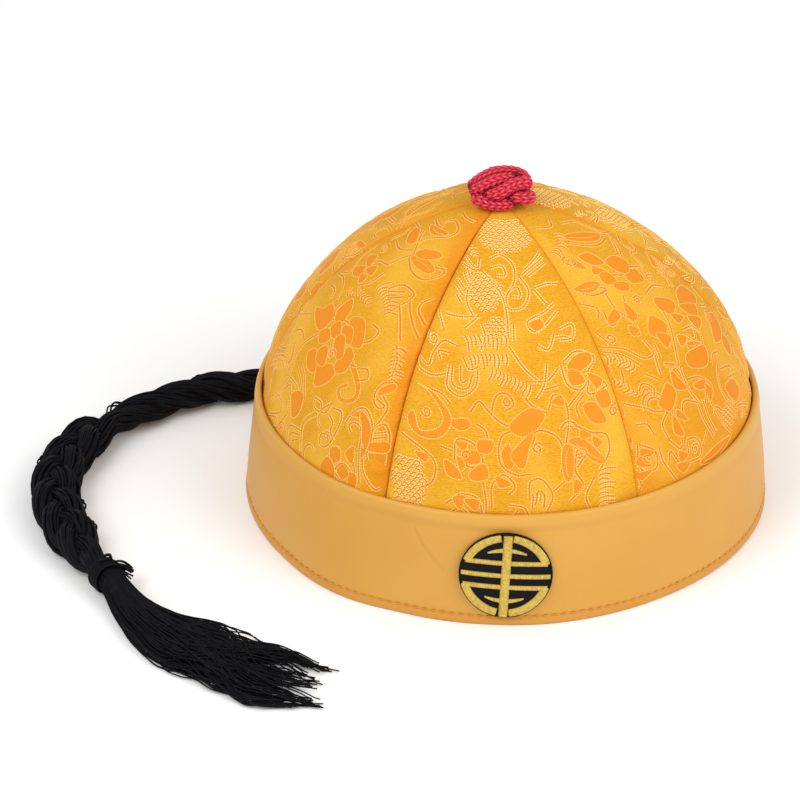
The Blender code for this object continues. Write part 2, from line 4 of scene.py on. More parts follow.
import bpy
import numpy as np
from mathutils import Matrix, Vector


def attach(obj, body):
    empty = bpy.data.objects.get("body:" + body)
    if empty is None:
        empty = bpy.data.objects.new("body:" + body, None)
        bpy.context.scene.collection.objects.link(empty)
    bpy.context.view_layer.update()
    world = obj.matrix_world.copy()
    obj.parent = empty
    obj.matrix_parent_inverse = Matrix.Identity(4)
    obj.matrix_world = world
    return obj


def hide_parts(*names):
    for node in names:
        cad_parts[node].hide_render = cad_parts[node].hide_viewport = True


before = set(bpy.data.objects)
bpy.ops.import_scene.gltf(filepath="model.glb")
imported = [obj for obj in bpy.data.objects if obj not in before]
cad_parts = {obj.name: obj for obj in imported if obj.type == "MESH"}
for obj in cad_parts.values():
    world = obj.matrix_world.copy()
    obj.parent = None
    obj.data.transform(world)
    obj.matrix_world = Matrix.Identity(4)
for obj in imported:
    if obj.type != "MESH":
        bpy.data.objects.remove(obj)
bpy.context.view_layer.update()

# Lengths below are in millimetres, and MM turns them into the scene's metres
MM = 0.001
chance = np.random.default_rng(7)


# Camera: the photograph's own view, 30 degrees above the surface
VIEW_ELEVATION = 30.25
VIEW_DISTANCE = 1650.4
VIEW_AIM = (-38.7, 61.1, 0.0)
VIEW_LENS = 195.84


def place_camera():
    """The camera stands back from its aim along the line of sight, which it looks down."""
    rise = math.radians(VIEW_ELEVATION)
    back = Vector((0.0, -math.cos(rise), math.sin(rise)))
    camera = bpy.data.objects.new("camera", bpy.data.cameras.new("camera"))
    camera.data.lens = VIEW_LENS
    camera.data.clip_start = 0.05
    camera.data.clip_end = 30.0
    camera.location = (Vector(VIEW_AIM) + VIEW_DISTANCE * back) * MM
    camera.rotation_mode = "QUATERNION"
    camera.rotation_quaternion = (-back).to_track_quat("-Z", "Y")
    bpy.context.scene.collection.objects.link(camera)
    bpy.context.scene.camera = camera


def soft_light(name, place, aim, size, watts, tint):
    """A square softbox that faces its aim."""
    lamp = bpy.data.lights.new(name, "AREA")
    lamp.shape = "SQUARE"
    lamp.size = size
    lamp.energy = watts
    lamp.color = tint
    light = bpy.data.objects.new(name, lamp)
    light.location = place
    light.rotation_mode = "QUATERNION"
    light.rotation_quaternion = (Vector(aim) - Vector(place)).to_track_quat("-Z", "Y")
    bpy.context.scene.collection.objects.link(light)


class Look:
    """A procedural finish: its methods add nodes and return their output sockets."""

    def __init__(self, name, **sockets):
        """A new material whose shader has these values set on its own sockets."""
        self.material = bpy.data.materials.new(name)
        self.material.use_nodes = True
        self.tree = self.material.node_tree
        self.shader = self.tree.nodes["Principled BSDF"]
        for socket, value in sockets.items():
            self.shader.inputs[socket.replace("_", " ")].default_value = value

    def node(self, kind, inputs=(), output=0, **settings):
        """Adds a node. An input is linked where it is a socket, and is otherwise a value."""
        made = self.tree.nodes.new("ShaderNode" + kind)
        for key, value in settings.items():
            setattr(made, key, value)
        for key, value in dict(inputs).items():
            if isinstance(value, bpy.types.NodeSocket):
                self.tree.links.new(value, made.inputs[key])
            else:
                made.inputs[key].default_value = value
        return made.outputs[output]

    def attribute(self, name):
        """One of the mesh's own fields."""
        return self.node("Attribute", output="Fac", attribute_name=name)

    def cloth_place(self):
        """Where a point lies on the flat cloth."""
        return self.node("UVMap", uv_map="cloth")

    def object_place(self):
        """Where a point lies in the object."""
        return self.node("TexCoord", output="Object")

    def noise(self, place, scale, detail=2.0):
        """Soft random blotches."""
        return self.node("TexNoise", {"Vector": place, "Scale": scale, "Detail": detail})

    def stretched(self, place, scale):
        """The place with each axis scaled by its own number."""
        return self.node("Mapping", {"Vector": place, "Scale": scale})

    def wave(self, place, scale, axis, distortion=0.0, detail_scale=1.0):
        """Bands across the axis, 0.314 / scale apart."""
        inputs = {"Vector": place, "Scale": scale, "Distortion": distortion, "Detail Scale": detail_scale}
        return self.node("TexWave", inputs, output="Fac", bands_direction=axis)

    def ramp(self, value, low, high, start=0.0, end=1.0):
        """Smooth step: start below low, end above high."""
        inputs = {"Value": value, "From Min": low, "From Max": high, "To Min": start, "To Max": end}
        return self.node("MapRange", inputs, interpolation_type="SMOOTHSTEP")

    def sum(self, *values):
        """All values added."""
        total = values[0]
        for value in values[1:]:
            total = self.node("Math", {0: total, 1: value}, operation="ADD")
        return total

    def product(self, first, second):
        """Two values multiplied."""
        return self.node("Math", {0: first, 1: second}, operation="MULTIPLY")

    def mix(self, share, first, second):
        """The first colour at share 0, the second at 1. A mix node's colours are its inputs 6 and 7."""
        colours = {0: share, 6: paint(first), 7: paint(second)}
        return self.node("Mix", colours, output=2, data_type="RGBA")

    def drive(self, socket, value):
        """Links a value to one of the shader's sockets."""
        self.tree.links.new(value, self.shader.inputs[socket])

    def bump(self, height, strength, depth):
        """Fine relief of that depth in millimetres where the height is 1."""
        inputs = {"Height": height, "Strength": strength, "Distance": depth * MM}
        self.drive("Normal", self.node("Bump", inputs))


def paint(colour):
    """A colour with its opacity, or a socket as it is."""
    return (*colour, 1.0) if isinstance(colour, tuple) else colour


# Finishes, in linear colour
GROUND = (0.742, 0.370, 0.021)
GROUND_DEEP = (0.675, 0.265, 0.010)
GROUND_SHADE = (0.480, 0.190, 0.006)
# painted sheen: the pale yellow of the light patches on the brocade ground
PAINTED_SHEEN = (0.870, 0.520, 0.060)
ORANGE = (0.790, 0.272, 0.020)
ORANGE_DEEP = (0.720, 0.205, 0.009)
PEACH = (0.840, 0.500, 0.140)
STRAW = (0.900, 0.760, 0.300)
SATIN = (0.655, 0.340, 0.060)
SATIN_SHADE = (0.575, 0.245, 0.033)
CRIMSON = (0.680, 0.020, 0.045)
CRIMSON_LIGHT = (0.960, 0.150, 0.205)
CRIMSON_DARK = (0.120, 0.001, 0.006)
BLACK_THREAD = (0.004, 0.004, 0.006)
GOLD = (0.765, 0.575, 0.105)
GOLD_SHADE = (0.420, 0.250, 0.020)
YARN = (0.0022, 0.0022, 0.0036)
YARN_LIGHT = (0.0070, 0.0070, 0.0100)

# Length in millimetres of one float of the pattern thread
FLOAT_LENGTH = 0.95


def brocade_look():
    """Golden ground with fine broken weft lines, and orange satin fills with a diagonal shine.

    The cloth's own attributes: filled passes 0.5 on the edge of each orange shape, and the seam field rises
    to 1 at a seam: painted shade, deeper orange in the seam's crease, with more of it beside the front-left
    seam and low on the right panel.
    """
    look = Look("brocade", Roughness=0.55, Specular_IOR_Level=0.08)
    cloth = look.cloth_place()
    weft = look.wave(cloth, 42.0, "Y", distortion=2.2, detail_scale=2.0)
    broken = look.ramp(look.noise(look.stretched(cloth, (60.0, 150.0, 1.0)), 1.0), 0.38, 0.60)
    twill = look.wave(look.stretched(cloth, (1.0, 0.45, 1.0)), 70.0, "DIAGONAL", distortion=0.8)
    cloudy = look.ramp(look.noise(cloth, 5.0, detail=3.0), 0.35, 0.7)
    flecks = look.ramp(look.noise(look.stretched(cloth, (95.0, 210.0, 1.0)), 1.0), 0.50, 0.68)
    lines = look.product(weft, broken)
    ground = look.mix(look.product(lines, 0.85), GROUND, GROUND_DEEP)
    ground = look.mix(look.product(cloudy, 0.35), ground, GROUND_DEEP)
    ground = look.mix(look.product(flecks, 0.38), ground, GROUND_SHADE)
    # painted sheen: soft patches of the ground turn pale yellow
    shine = look.ramp(look.noise(look.stretched(cloth, (1.0, 0.55, 1.0)), 3.4, detail=1.0), 0.48, 0.66)
    ground = look.mix(look.product(shine, 0.42), ground, PAINTED_SHEEN)
    filled = look.ramp(look.attribute("filled"), 0.42, 0.58)
    satin = look.mix(look.product(twill, 0.60), ORANGE, ORANGE_DEEP)
    colour = look.mix(look.product(filled, 0.90), ground, satin)
    # painted shade: the seams' creases, the band beside the front-left seam and the right panel's lower part
    # turn deeper orange
    painted_shade_share = look.product(look.attribute("painted_cloth_shade"), 0.60)
    look.drive("Base Color", look.mix(painted_shade_share, colour, ORANGE_DEEP))
    relief = look.sum(look.product(lines, -0.5), look.product(filled, 0.3), look.product(twill, 0.12))
    look.bump(relief, 0.6, 0.20)
    return look.material


def pattern_thread_look():
    """Pale pattern thread that shows as a row of short floats with darker gaps between them.

    The thread's own attributes: along is its length so far in millimetres, and pale runs from peach at 0 to
    straw at 1, with -1 for the deep orange thread in the middle of a pair, which is painted shade in the
    groove between the pair's two pale threads.
    """
    look = Look("pattern_thread", Roughness=0.55, Specular_IOR_Level=0.10)
    along = look.node("CombineXYZ", {0: look.attribute("along")})
    beads = look.ramp(look.wave(along, 0.314 / FLOAT_LENGTH, "X"), 0.05, 0.40)
    speck = look.ramp(look.noise(look.object_place(), 1400.0, detail=1.0), 0.3, 0.6, 0.7, 1.0)
    pale = look.attribute("pale")
    thread = look.mix(look.product(beads, speck), GROUND, look.mix(pale, PEACH, STRAW))
    # painted shade: the middle thread of a pair is deep orange
    look.drive("Base Color", look.mix(look.ramp(pale, -0.1, -0.6), thread, ORANGE_DEEP))
    return look.material


def satin_look():
    """Plain satin: fine diagonal lines and a soft cloudiness, with painted shade where the band's shading
    attribute rises and a painted highlight where it falls.
    """
    look = Look("satin", Roughness=0.44, Specular_IOR_Level=0.30)
    cloth = look.cloth_place()
    lines = look.wave(look.stretched(cloth, (1.0, 0.8, 1.0)), 62.0, "DIAGONAL", distortion=1.0)
    grain = look.noise(look.stretched(cloth, (60.0, 220.0, 1.0)), 1.0)
    cloudy = look.ramp(look.noise(cloth, 2.2, detail=3.0), 0.35, 0.7)
    shade = look.sum(look.product(lines, 0.10), look.product(grain, 0.16), look.product(cloudy, 0.16))
    # painted shade, and painted highlight where the attribute is below 0
    shade = look.sum(shade, look.product(look.attribute("painted_band_shading"), 0.55))
    look.drive("Base Color", look.mix(shade, SATIN, SATIN_SHADE))
    look.bump(look.sum(look.product(lines, 0.5), grain), 0.18, 0.10)
    return look.material


def cord_look():
    """Matt knitted cord, dark in the hollows between its stitches and light on their crowns."""
    look = Look(
        "knitted_cord", Roughness=0.55, Specular_IOR_Level=0.25, Sheen_Weight=0.10, Sheen_Roughness=0.4,
    )
    crown = look.attribute("crown")
    # painted shade: the stitch hollows, the creases where strands touch and the knot's core go dark
    low = look.mix(look.ramp(crown, 0.0, 0.30), CRIMSON_DARK, CRIMSON)
    fluff = look.noise(look.object_place(), 2600.0)
    # painted highlight on the crowns of the stitches
    lit = look.product(look.ramp(crown, 0.50, 1.0), look.ramp(fluff, 0.30, 0.70, 0.15, 1.0))
    look.drive("Base Color", look.mix(lit, low, CRIMSON_LIGHT))
    look.bump(fluff, 0.35, 0.12)
    return look.material


def badge_cloth_look():
    """Black embroidery ground: close rows of stitches."""
    colour = paint(BLACK_THREAD)
    look = Look("badge_cloth", Roughness=0.72, Specular_IOR_Level=0.16, Base_Color=colour)
    look.bump(look.wave(look.cloth_place(), 95.0, "DIAGONAL", distortion=1.2), 0.5, 0.15)
    return look.material


def gold_look():
    """Satin-stitched metallic thread: lustrous on the crown of each thread, deep between."""
    look = Look("gold_thread", Roughness=0.38, Specular_IOR_Level=0.55)
    crown = look.attribute("crown")
    speck = look.noise(look.object_place(), 900.0)
    # painted highlight on each thread's crown, painted shade between the threads and at the bars' edges
    share = look.product(look.ramp(crown, 0.1, 0.8), look.ramp(speck, 0.36, 0.58, 0.35, 1.0))
    look.drive("Base Color", look.mix(share, GOLD_SHADE, GOLD))
    return look.material


def yarn_look():
    """Black yarn: almost black, with a faint lighter bloom in places and the ripple of its plies."""
    look = Look("yarn", Roughness=0.62, Specular_IOR_Level=0.12)
    place = look.object_place()
    bloom = look.ramp(look.noise(place, 420.0, detail=3.0), 0.45, 0.8)
    look.drive("Base Color", look.mix(bloom, YARN, YARN_LIGHT))
    look.bump(look.noise(place, 2400.0, detail=1.0), 0.4, 0.15)
    return look.material


def topstitch_look():
    """Sewing thread a shade deeper than the satin, with small specks."""
    look = Look("topstitch_thread", Roughness=0.50, Specular_IOR_Level=0.40)
    speck = look.noise(look.object_place(), 1500.0)
    look.drive("Base Color", look.mix(look.ramp(speck, 0.35, 0.7), SATIN_SHADE, GROUND_DEEP))
    return look.material


# Meshes: edges sharper than this angle in degrees are creased, and this many millimetres of cloth
# make one unit of the cloth's own UV map
SHARP_ANGLE = 62.0
CLOTH_UNIT = 100.0
TINY = 1e-9


def add_piece(name, points, face_sets, material, stands_for=(), attributes=None, cloth=None):
    """One finished piece from points in millimetres and arrays of faces, each of one size of face."""
    mesh = bpy.data.meshes.new(name)
    points = np.asarray(points, float).reshape(-1, 3) * MM
    face_sets = [np.asarray(faces, np.int32) for faces in face_sets if len(faces)]
    corners = np.concatenate([faces.ravel() for faces in face_sets])
    sizes = np.concatenate([np.full(len(faces), faces.shape[1]) for faces in face_sets])
    starts = np.concatenate([[0], np.cumsum(sizes)[:-1]])
    mesh.vertices.add(len(points))
    mesh.vertices.foreach_set("co", points.astype(np.float32).ravel())
    mesh.loops.add(len(corners))
    mesh.loops.foreach_set("vertex_index", corners)
    mesh.polygons.add(len(sizes))
    mesh.polygons.foreach_set("loop_start", starts.astype(np.int32))
    mesh.update(calc_edges=True)
    mesh.validate()
    if cloth is not None:
        layer = mesh.uv_layers.new(name="cloth")
        order = np.empty(len(mesh.loops), np.int32)
        mesh.loops.foreach_get("vertex_index", order)
        flat = (np.asarray(cloth, float) / CLOTH_UNIT)[order]
        layer.uv.foreach_set("vector", flat.astype(np.float32).ravel())
    for key, values in (attributes or {}).items():
        field = mesh.attributes.new(key, "FLOAT", "POINT")
        field.data.foreach_set("value", np.asarray(values, np.float32).ravel())
    mesh.shade_smooth()
    mesh.set_sharp_from_angle(angle=math.radians(SHARP_ANGLE))
    mesh.materials.append(material)
    piece = bpy.data.objects.new(name, mesh)
    bpy.context.scene.collection.objects.link(piece)
    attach(piece, "root")
    if stands_for:
        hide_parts(*stands_for)
    return piece


def grid_faces(rows, columns, first=0, wrap_columns=False, wrap_rows=False, flip=False):
    """Four-cornered faces of a grid whose points run along each row."""
    row = np.arange(rows if wrap_rows else rows - 1)
    column = np.arange(columns if wrap_columns else columns - 1)
    row, column = [axis.ravel() for axis in np.meshgrid(row, column, indexing="ij")]
    next_row = (row + 1) % rows
    next_column = (column + 1) % columns
    corners = (
        row * columns + column, row * columns + next_column,
        next_row * columns + next_column, next_row * columns + column,
    )
    if flip:
        corners = corners[::-1]
    return first + np.column_stack(corners)


def run_along(line):
    """Length along a line up to each of its points."""
    return np.concatenate([[0.0], np.cumsum(np.linalg.norm(np.diff(line, axis=0), axis=1))])


def read_off(place, run, line):
    """The points of a line at these lengths along it."""
    return np.column_stack([np.interp(place, run, column) for column in line.T])


def smooth_line(knots, step):
    """Catmull-Rom curve through the knots, read off at even steps of its length, with those lengths."""
    knots = np.asarray(knots, float)
    padded = np.vstack([2.0 * knots[:1] - knots[1:2], knots, 2.0 * knots[-1:] - knots[-2:-1]])
    share = np.linspace(0.0, 1.0, 24, endpoint=False)[None, :, None]
    first, start, end, last = (padded[k:len(padded) - 3 + k, None] for k in range(4))
    dense = 0.5 * (
        2.0 * start
        + (end - first) * share
        + (2.0 * first - 5.0 * start + 4.0 * end - last) * share ** 2
        + (3.0 * start - first - 3.0 * end + last) * share ** 3
    )
    dense = np.vstack([dense.reshape(-1, knots.shape[1]), knots[-1:]])
    run = run_along(dense)
    even = np.linspace(0.0, run[-1], max(2, round(run[-1] / step) + 1))
    return read_off(even, run, dense), even


def unit(vectors):
    """Vectors brought to length 1."""
    return vectors / np.maximum(np.linalg.norm(vectors, axis=-1, keepdims=True), TINY)


def left_of(line):
    """Unit directions across a flat line, to its left."""
    ahead = unit(np.gradient(line, axis=0))
    return np.column_stack([-ahead[:, 1], ahead[:, 0]])


def line_frames(lines):
    """For lines (many, stations, 3): tangents, and two cross directions that turn as little as can be."""
    ahead = unit(np.gradient(lines, axis=1))
    start = np.cross(ahead[:, 0], np.array([0.31, 0.17, 0.93]))
    side = np.empty_like(ahead)
    side[:, 0] = unit(start)
    for station in range(1, lines.shape[1]):
        held = side[:, station - 1]
        along = (held * ahead[:, station]).sum(-1, keepdims=True)
        side[:, station] = unit(held - along * ahead[:, station])
    return ahead, side, np.cross(ahead, side)


def end_fans(rows, columns, flip=False):
    """Triangles from a grid's first and last rings to two points that come after the grid's own."""
    count = rows * columns
    turn = np.arange(columns)
    after = (turn + 1) % columns
    last = count - columns
    fans = np.concatenate([
        np.column_stack([np.full(columns, count), after, turn]),
        np.column_stack([np.full(columns, count + 1), last + turn, last + after]),
    ])
    return fans[:, [0, 2, 1]] if flip else fans


def tubes(lines, radii, sides):
    """Round tubes along many lines at once, each pulled in to a blunt point at both ends.

    A ring is centre + radius * (cos a * side + sin a * up). Returns points and face arrays.
    """
    lines = np.asarray(lines, float)
    many, stations, _ = lines.shape
    radii = np.broadcast_to(radii, (many, stations))
    _, side, up = line_frames(lines)
    angle = 2.0 * math.pi * np.arange(sides) / sides
    spokes = np.cos(angle)[:, None] * side[:, :, None] + np.sin(angle)[:, None] * up[:, :, None]
    rings = lines[:, :, None] + radii[:, :, None, None] * spokes
    ends = lines[:, [0, -1]]
    points = np.concatenate([rings.reshape(many, -1, 3), ends], axis=1)
    size = stations * sides + 2
    shift = (size * np.arange(many))[:, None, None]
    quads = (grid_faces(stations, sides, wrap_columns=True)[None] + shift).reshape(-1, 4)
    triangles = (end_fans(stations, sides)[None] + shift).reshape(-1, 3)
    return points.reshape(-1, 3), [quads, triangles]


def stacked(parts):
    """Puts several (points, face arrays) together into one."""
    points, quads, triangles, first = [], [], [], 0
    for part_points, faces in parts:
        points.append(part_points)
        for array in faces:
            (quads if array.shape[1] == 4 else triangles).append(array + first)
        first += len(part_points)
    sets = [np.concatenate(group) for group in (quads, triangles) if group]
    return np.concatenate(points), sets


def smooth_noise(many, stations, spans, amount):
    """Seeded random wander, even in size along each line: cubic ease between random knots."""
    knots = chance.normal(0.0, amount, (many, spans + 2))
    place = np.linspace(0.0, spans, stations)
    index = np.minimum(place.astype(int), spans)
    share = place - index
    share = share * share * (3.0 - 2.0 * share)
    return knots[:, index] * (1.0 - share) + knots[:, index + 1] * share


# Band and crown sizes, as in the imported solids
BAND_HEIGHT = 42.0
BAND_FOOT = 95.0
BAND_TOP = 90.6
BAND_WALL = 2.0
BAND_BELLY = 0.5
CHANNEL = 0.5
HEM_THICKNESS = 1.7
TURN_UP_WALL = 1.3
TURN_UP_HEIGHT = 11.0
ARCH_HEIGHT = 7.0
ARCH_HALF_WIDTH = 24.0
CROWN_ARCH_HALF_WIDTH = 35.0
# Azimuth, half width in degrees, and how far the hem stands out of its circle
WAVES = ((-131.0, 20.0, 1.7), (-52.0, 34.0, -1.0), (150.0, 40.0, 0.8), (40.0, 36.0, -0.7))
WAVE_LEFT_AT_TOP = 0.4
CROWN_WALL = 1.4
CROWN_FOOT = 40.0
CROWN_TOP = 119.0
CROWN_RADIUS = 88.0
DOME_P = 1.74
DOME_Q = 1.65
CROWN_LEAN = -3.0
SEAM_DEPTHS = np.array([2.7, 1.5, 1.8, 1.8, 1.8, 1.8])
SEAM_REACH = 4.5
FIRST_SEAM = -120.0
GORE_ANGLE = 60.0
HALF_GORE = math.radians(0.5 * GORE_ANGLE)
BACK_AZIMUTH = 90.0
# The panels' points end this far from the crown's middle
APEX_RADIUS = 3.2


def around(azimuth, centre):
    """Signed angle in degrees from the centre, between -180 and 180."""
    return (azimuth - centre + 180.0) % 360.0 - 180.0


def hump(away, half_width):
    """Cos-squared: 1 in the middle, falling to 0 at the half width and staying there."""
    return np.where(np.abs(away) < half_width, np.cos(0.5 * math.pi * away / half_width) ** 2, 0.0)


def band_wave(azimuth, height):
    """Cos-squared waves of the plan that fade towards the band's top."""
    out = 0.0 * azimuth
    for centre, half_width, size in WAVES:
        out = out + size * hump(around(azimuth, centre), half_width)
    return out * (1.0 - (1.0 - WAVE_LEFT_AT_TOP) * np.clip(height / BAND_HEIGHT, 0.0, 1.0))


def band_radius(azimuth, height):
    """Straight lean, a slight belly and the plan's waves."""
    share = height / BAND_HEIGHT
    lean = BAND_FOOT + (BAND_TOP - BAND_FOOT) * share
    return lean + 4.0 * BAND_BELLY * share * (1.0 - share) + band_wave(azimuth, height)


def hem_lift(azimuth, height, half_width):
    """The cos-squared arch of the hem over the queue's root, none of it left at the band's top."""
    away = np.radians(around(azimuth, BACK_AZIMUTH)) * BAND_FOOT
    return ARCH_HEIGHT * hump(away, half_width) * (1.0 - height / BAND_HEIGHT) ** 2


def on_circle(azimuth, radius, height):
    """The point at that azimuth in degrees, radius and height."""
    angle = np.radians(azimuth)
    return np.stack(np.broadcast_arrays(radius * np.cos(angle), radius * np.sin(angle), height), axis=-1)


def dome_profile():
    """The dome's outline from its foot, in fine steps: radius, share of the height and length so far.

    With a turn t from 0 to 90 degrees the share is sin(t)^(2/p) and the radius R cos(t)^(2/q).
    """
    turn = np.linspace(0.0, 0.5 * math.pi, 4001)
    share = np.sin(turn) ** (2.0 / DOME_P)
    radius = CROWN_RADIUS * np.cos(turn) ** (2.0 / DOME_Q)
    steps = np.hypot(np.diff(radius), np.diff(share) * (CROWN_TOP - CROWN_FOOT))
    return radius, share, np.concatenate([[0.0], np.cumsum(steps)])


DOME_RADIUS, DOME_SHARE, DOME_RUN = dome_profile()
APEX_RUN = float(np.interp(APEX_RADIUS, DOME_RADIUS[::-1], DOME_RUN[::-1]))


def dome_radius(run):
    """Radius of the dome that far up its outline. Below the band's edge it is the foot's."""
    return np.interp(np.clip(run, 0.0, None), DOME_RUN, DOME_RADIUS)


def nearest_seam(azimuth):
    """The number of the nearest seam, and the signed angle to it in radians."""
    turn = (azimuth - FIRST_SEAM) % 360.0 / GORE_ANGLE
    nearest = np.round(turn).astype(int)
    return nearest % 6, np.radians((turn - nearest) * GORE_ANGLE)


def seam_valley(azimuth, radius, share):
    """The valley along the nearer seam: exp(-distance / reach), as deep as the solids' own."""
    nearest, angle = nearest_seam(azimuth)
    away = np.abs(angle) * radius
    fade = 0.35 + 0.65 * np.sin(0.5 * math.pi * np.minimum(1.0, share / 0.45))
    fade = fade * np.minimum(1.0, radius / 31.0)
    return SEAM_DEPTHS[nearest] * fade * np.exp(-away / SEAM_REACH)


def crown_folds(azimuth, radius, run):
    """Small relief of the sewn cloth, a sum of sines and bell curves.

    It is puckers beside each seam, a roll left of the front-left seam and slow swells.
    """
    nearest, seam_angle = nearest_seam(azimuth)
    signed = seam_angle * radius
    beside = np.exp(-np.abs(signed) / 6.0) * (1.0 - np.exp(-(signed / 1.6) ** 2))
    beside = beside * np.minimum(1.0, radius / 25.0)
    side = np.where(signed < 0.0, 0.9, 0.0)
    puckers = 0.42 * np.sin(run * 2.0 * math.pi / (8.5 + 1.2 * nearest) + 2.1 * nearest + side)
    puckers = puckers + 0.26 * np.sin(run * 2.0 * math.pi / 5.3 + 1.3 * nearest + 2.0 * side)
    roll = 0.95 * np.exp(-((signed + 8.0) / 4.6) ** 2) * np.minimum(1.0, radius / 40.0)
    roll = np.where(nearest == 0, roll, 0.0) * (0.65 + 0.35 * np.sin(run / 17.0 + 0.4))
    angle = np.radians(azimuth)
    swell = 0.32 * np.sin(3.0 * angle + run / 23.0) + 0.22 * np.sin(7.0 * angle - run / 15.0 + 1.0)
    swell = swell * np.minimum(1.0, radius / 30.0) * np.clip(run / 12.0, 0.0, 1.0)
    foot = 0.55 * np.exp(-(run / 5.0) ** 2)
    return beside * puckers + roll + swell + foot


def crown_surface(azimuth, run):
    """The crown's outer face: the dome less its seam valleys, with the sewn relief and a slight lean.

    run is the length up from the band's edge. Where it is negative the cloth follows the inside of
    the band, and it passes from one to the other in the first 4 mm.
    """
    up = np.clip(run, 0.0, None)
    radius = np.interp(up, DOME_RUN, DOME_RADIUS)
    share = np.interp(up, DOME_RUN, DOME_SHARE)
    height = CROWN_FOOT + (CROWN_TOP - CROWN_FOOT) * share
    wave = band_wave(azimuth, BAND_HEIGHT) * (1.0 - share) ** 2
    level = radius - seam_valley(azimuth, radius, share) + wave + crown_folds(azimuth, radius, up)
    lean = CROWN_LEAN * share ** 2
    open_face = on_circle(azimuth, level, height) + np.stack([lean, lean, 0.0 * lean], axis=-1)
    tucked_height = CROWN_FOOT + np.minimum(run, 0.0)
    inside = band_radius(azimuth, tucked_height) - BAND_WALL - 0.25
    lift = hem_lift(azimuth, tucked_height, CROWN_ARCH_HALF_WIDTH)
    tucked = on_circle(azimuth, inside, tucked_height + lift)
    hidden = np.clip(-run / 4.0, 0.0, 1.0)[..., None]
    return open_face * (1.0 - hidden) + tucked * hidden


# Brocade drawing: every motif is a mark, a line in the gore's flat millimetres. A mark that covers
# is a shape with an outline thread, and its inside may be filled with orange satin: its line is the
# shape's rim where half is None, or else its middle, with the half width at each point. A mark that
# doesn't cover is a single thread where half is None, or else a double one.
Mark = namedtuple("Mark", "line half filled pale covers")


def open_mark(points, pale, width=0.0, filled=0.0):
    """A stem or thread through the points, its width running evenly down to 0.6 of what it starts with."""
    line, _ = smooth_line(points, step=0.9)
    return Mark(line, 0.5 * np.linspace(width, 0.6 * width, len(line)), filled, pale, width > 0.0)


def closed_mark(points, pale):
    """A smooth closed shape: the curve starts one point early, ends two late, and is cut to one round."""
    points = np.asarray(points, float)
    line, _ = smooth_line(np.vstack([points[-1:], points, points[:2]]), step=0.5)
    starts = np.linalg.norm(line - points[0], axis=1)
    half_way = len(line) // 2
    first = int(np.argmin(starts[:half_way]))
    last = half_way + int(np.argmin(starts[half_way:]))
    return Mark(line[first:last], None, 1.0, pale, True)


def placed(line, u, v, turn=0.0, size=1.0):
    """Turns the line anticlockwise, scales it and moves it to (u, v)."""
    angle = math.radians(turn)
    across, up = size * line[:, 0], size * line[:, 1]
    return np.column_stack([
        u + across * math.cos(angle) - up * math.sin(angle),
        v + across * math.sin(angle) + up * math.cos(angle),
    ])


def vein(points, pale):
    """A short bowed thread along the longest direction of a leaf. Round petals have none."""
    points = np.asarray(points, float)
    middle = points.mean(0)
    _, spread, axes = np.linalg.svd(points - middle)
    if spread[0] < 2.4 * spread[1]:
        return []
    share = np.linspace(-1.0, 1.0, 7)[:, None]
    line = middle + 0.40 * spread[0] * share * axes[0] + 0.6 * (1.0 - share ** 2) * axes[1]
    return [Mark(line, None, 0.0, pale, False)]


def curl(u, v, size, turn, turns, pale):
    """A scroll: a spiral whose radius shrinks evenly to about a third."""
    share = np.linspace(0.0, 1.0, 22)
    angle = 2.0 * math.pi * turns * share
    radius = 1.0 - 0.72 * share
    line = placed(np.column_stack([radius * np.cos(angle), radius * np.sin(angle)]), u, v, turn, size)
    return [Mark(line, np.zeros(22), 0.0, pale, False)]


def arches(u, v, size, turn=0.0, count=4, gap=1.9, spread=75.0, pale=0.3):
    """Nested arcs like a shell or a cloud's edge."""
    angle = np.radians(np.linspace(90.0 - spread, 90.0 + spread, 12))
    arc = np.column_stack([np.cos(angle), np.sin(angle)])
    return [
        Mark(placed((size - gap * index) * arc, u, v, turn), np.zeros(12), 0.0, pale, False)
        for index in range(count)
    ]


def scales(u, v, wide, tall, turn=0.0, pitch=2.5, pale=0.9):
    """Rows of small arcs, each row set half a step over, kept inside an oval that is turned as asked."""
    angle = np.radians(np.linspace(15.0, 165.0, 6))
    arc = 0.5 * pitch * np.column_stack([np.cos(angle), np.sin(angle)])
    row, column = np.meshgrid(np.arange(-30, 31), np.arange(-30, 31))
    across = (column + 0.5 * (row % 2)) * pitch
    up = row * 0.62 * pitch
    kept = (across / (0.5 * wide)) ** 2 + (up / (0.5 * tall)) ** 2 < 1.0
    return [
        Mark(placed(arc + spot, u, v, turn), np.zeros(6), 0.0, pale, False)
        for spot in np.column_stack([across[kept], up[kept]])
    ]


def comb(points, reach, slant, gap=1.7, pale=0.5, sway=0.8):
    """Short wavy threads side by side off a spine, as in a mane or a wing."""
    spine, _ = smooth_line(points, step=gap)
    ahead = unit(np.gradient(spine, axis=0))
    angle = math.radians(slant)
    out = np.column_stack([
        ahead[:, 0] * math.cos(angle) - ahead[:, 1] * math.sin(angle),
        ahead[:, 0] * math.sin(angle) + ahead[:, 1] * math.cos(angle),
    ])
    share = np.linspace(0.0, 1.0, 8)[:, None]
    marks = []
    for index, (root, way) in enumerate(zip(spine, out)):
        length = reach * (0.75 + 0.25 * math.cos(1.9 * index))
        side = np.array([-way[1], way[0]])
        line = root + share * length * way + sway * np.sin(share * math.pi * 1.3) * side
        marks.append(Mark(line, np.zeros(8), 0.0, pale, False))
    return marks


# Shapes are drawn this many millimetres larger than their corners
SHAPE_GROWTH = 0.9


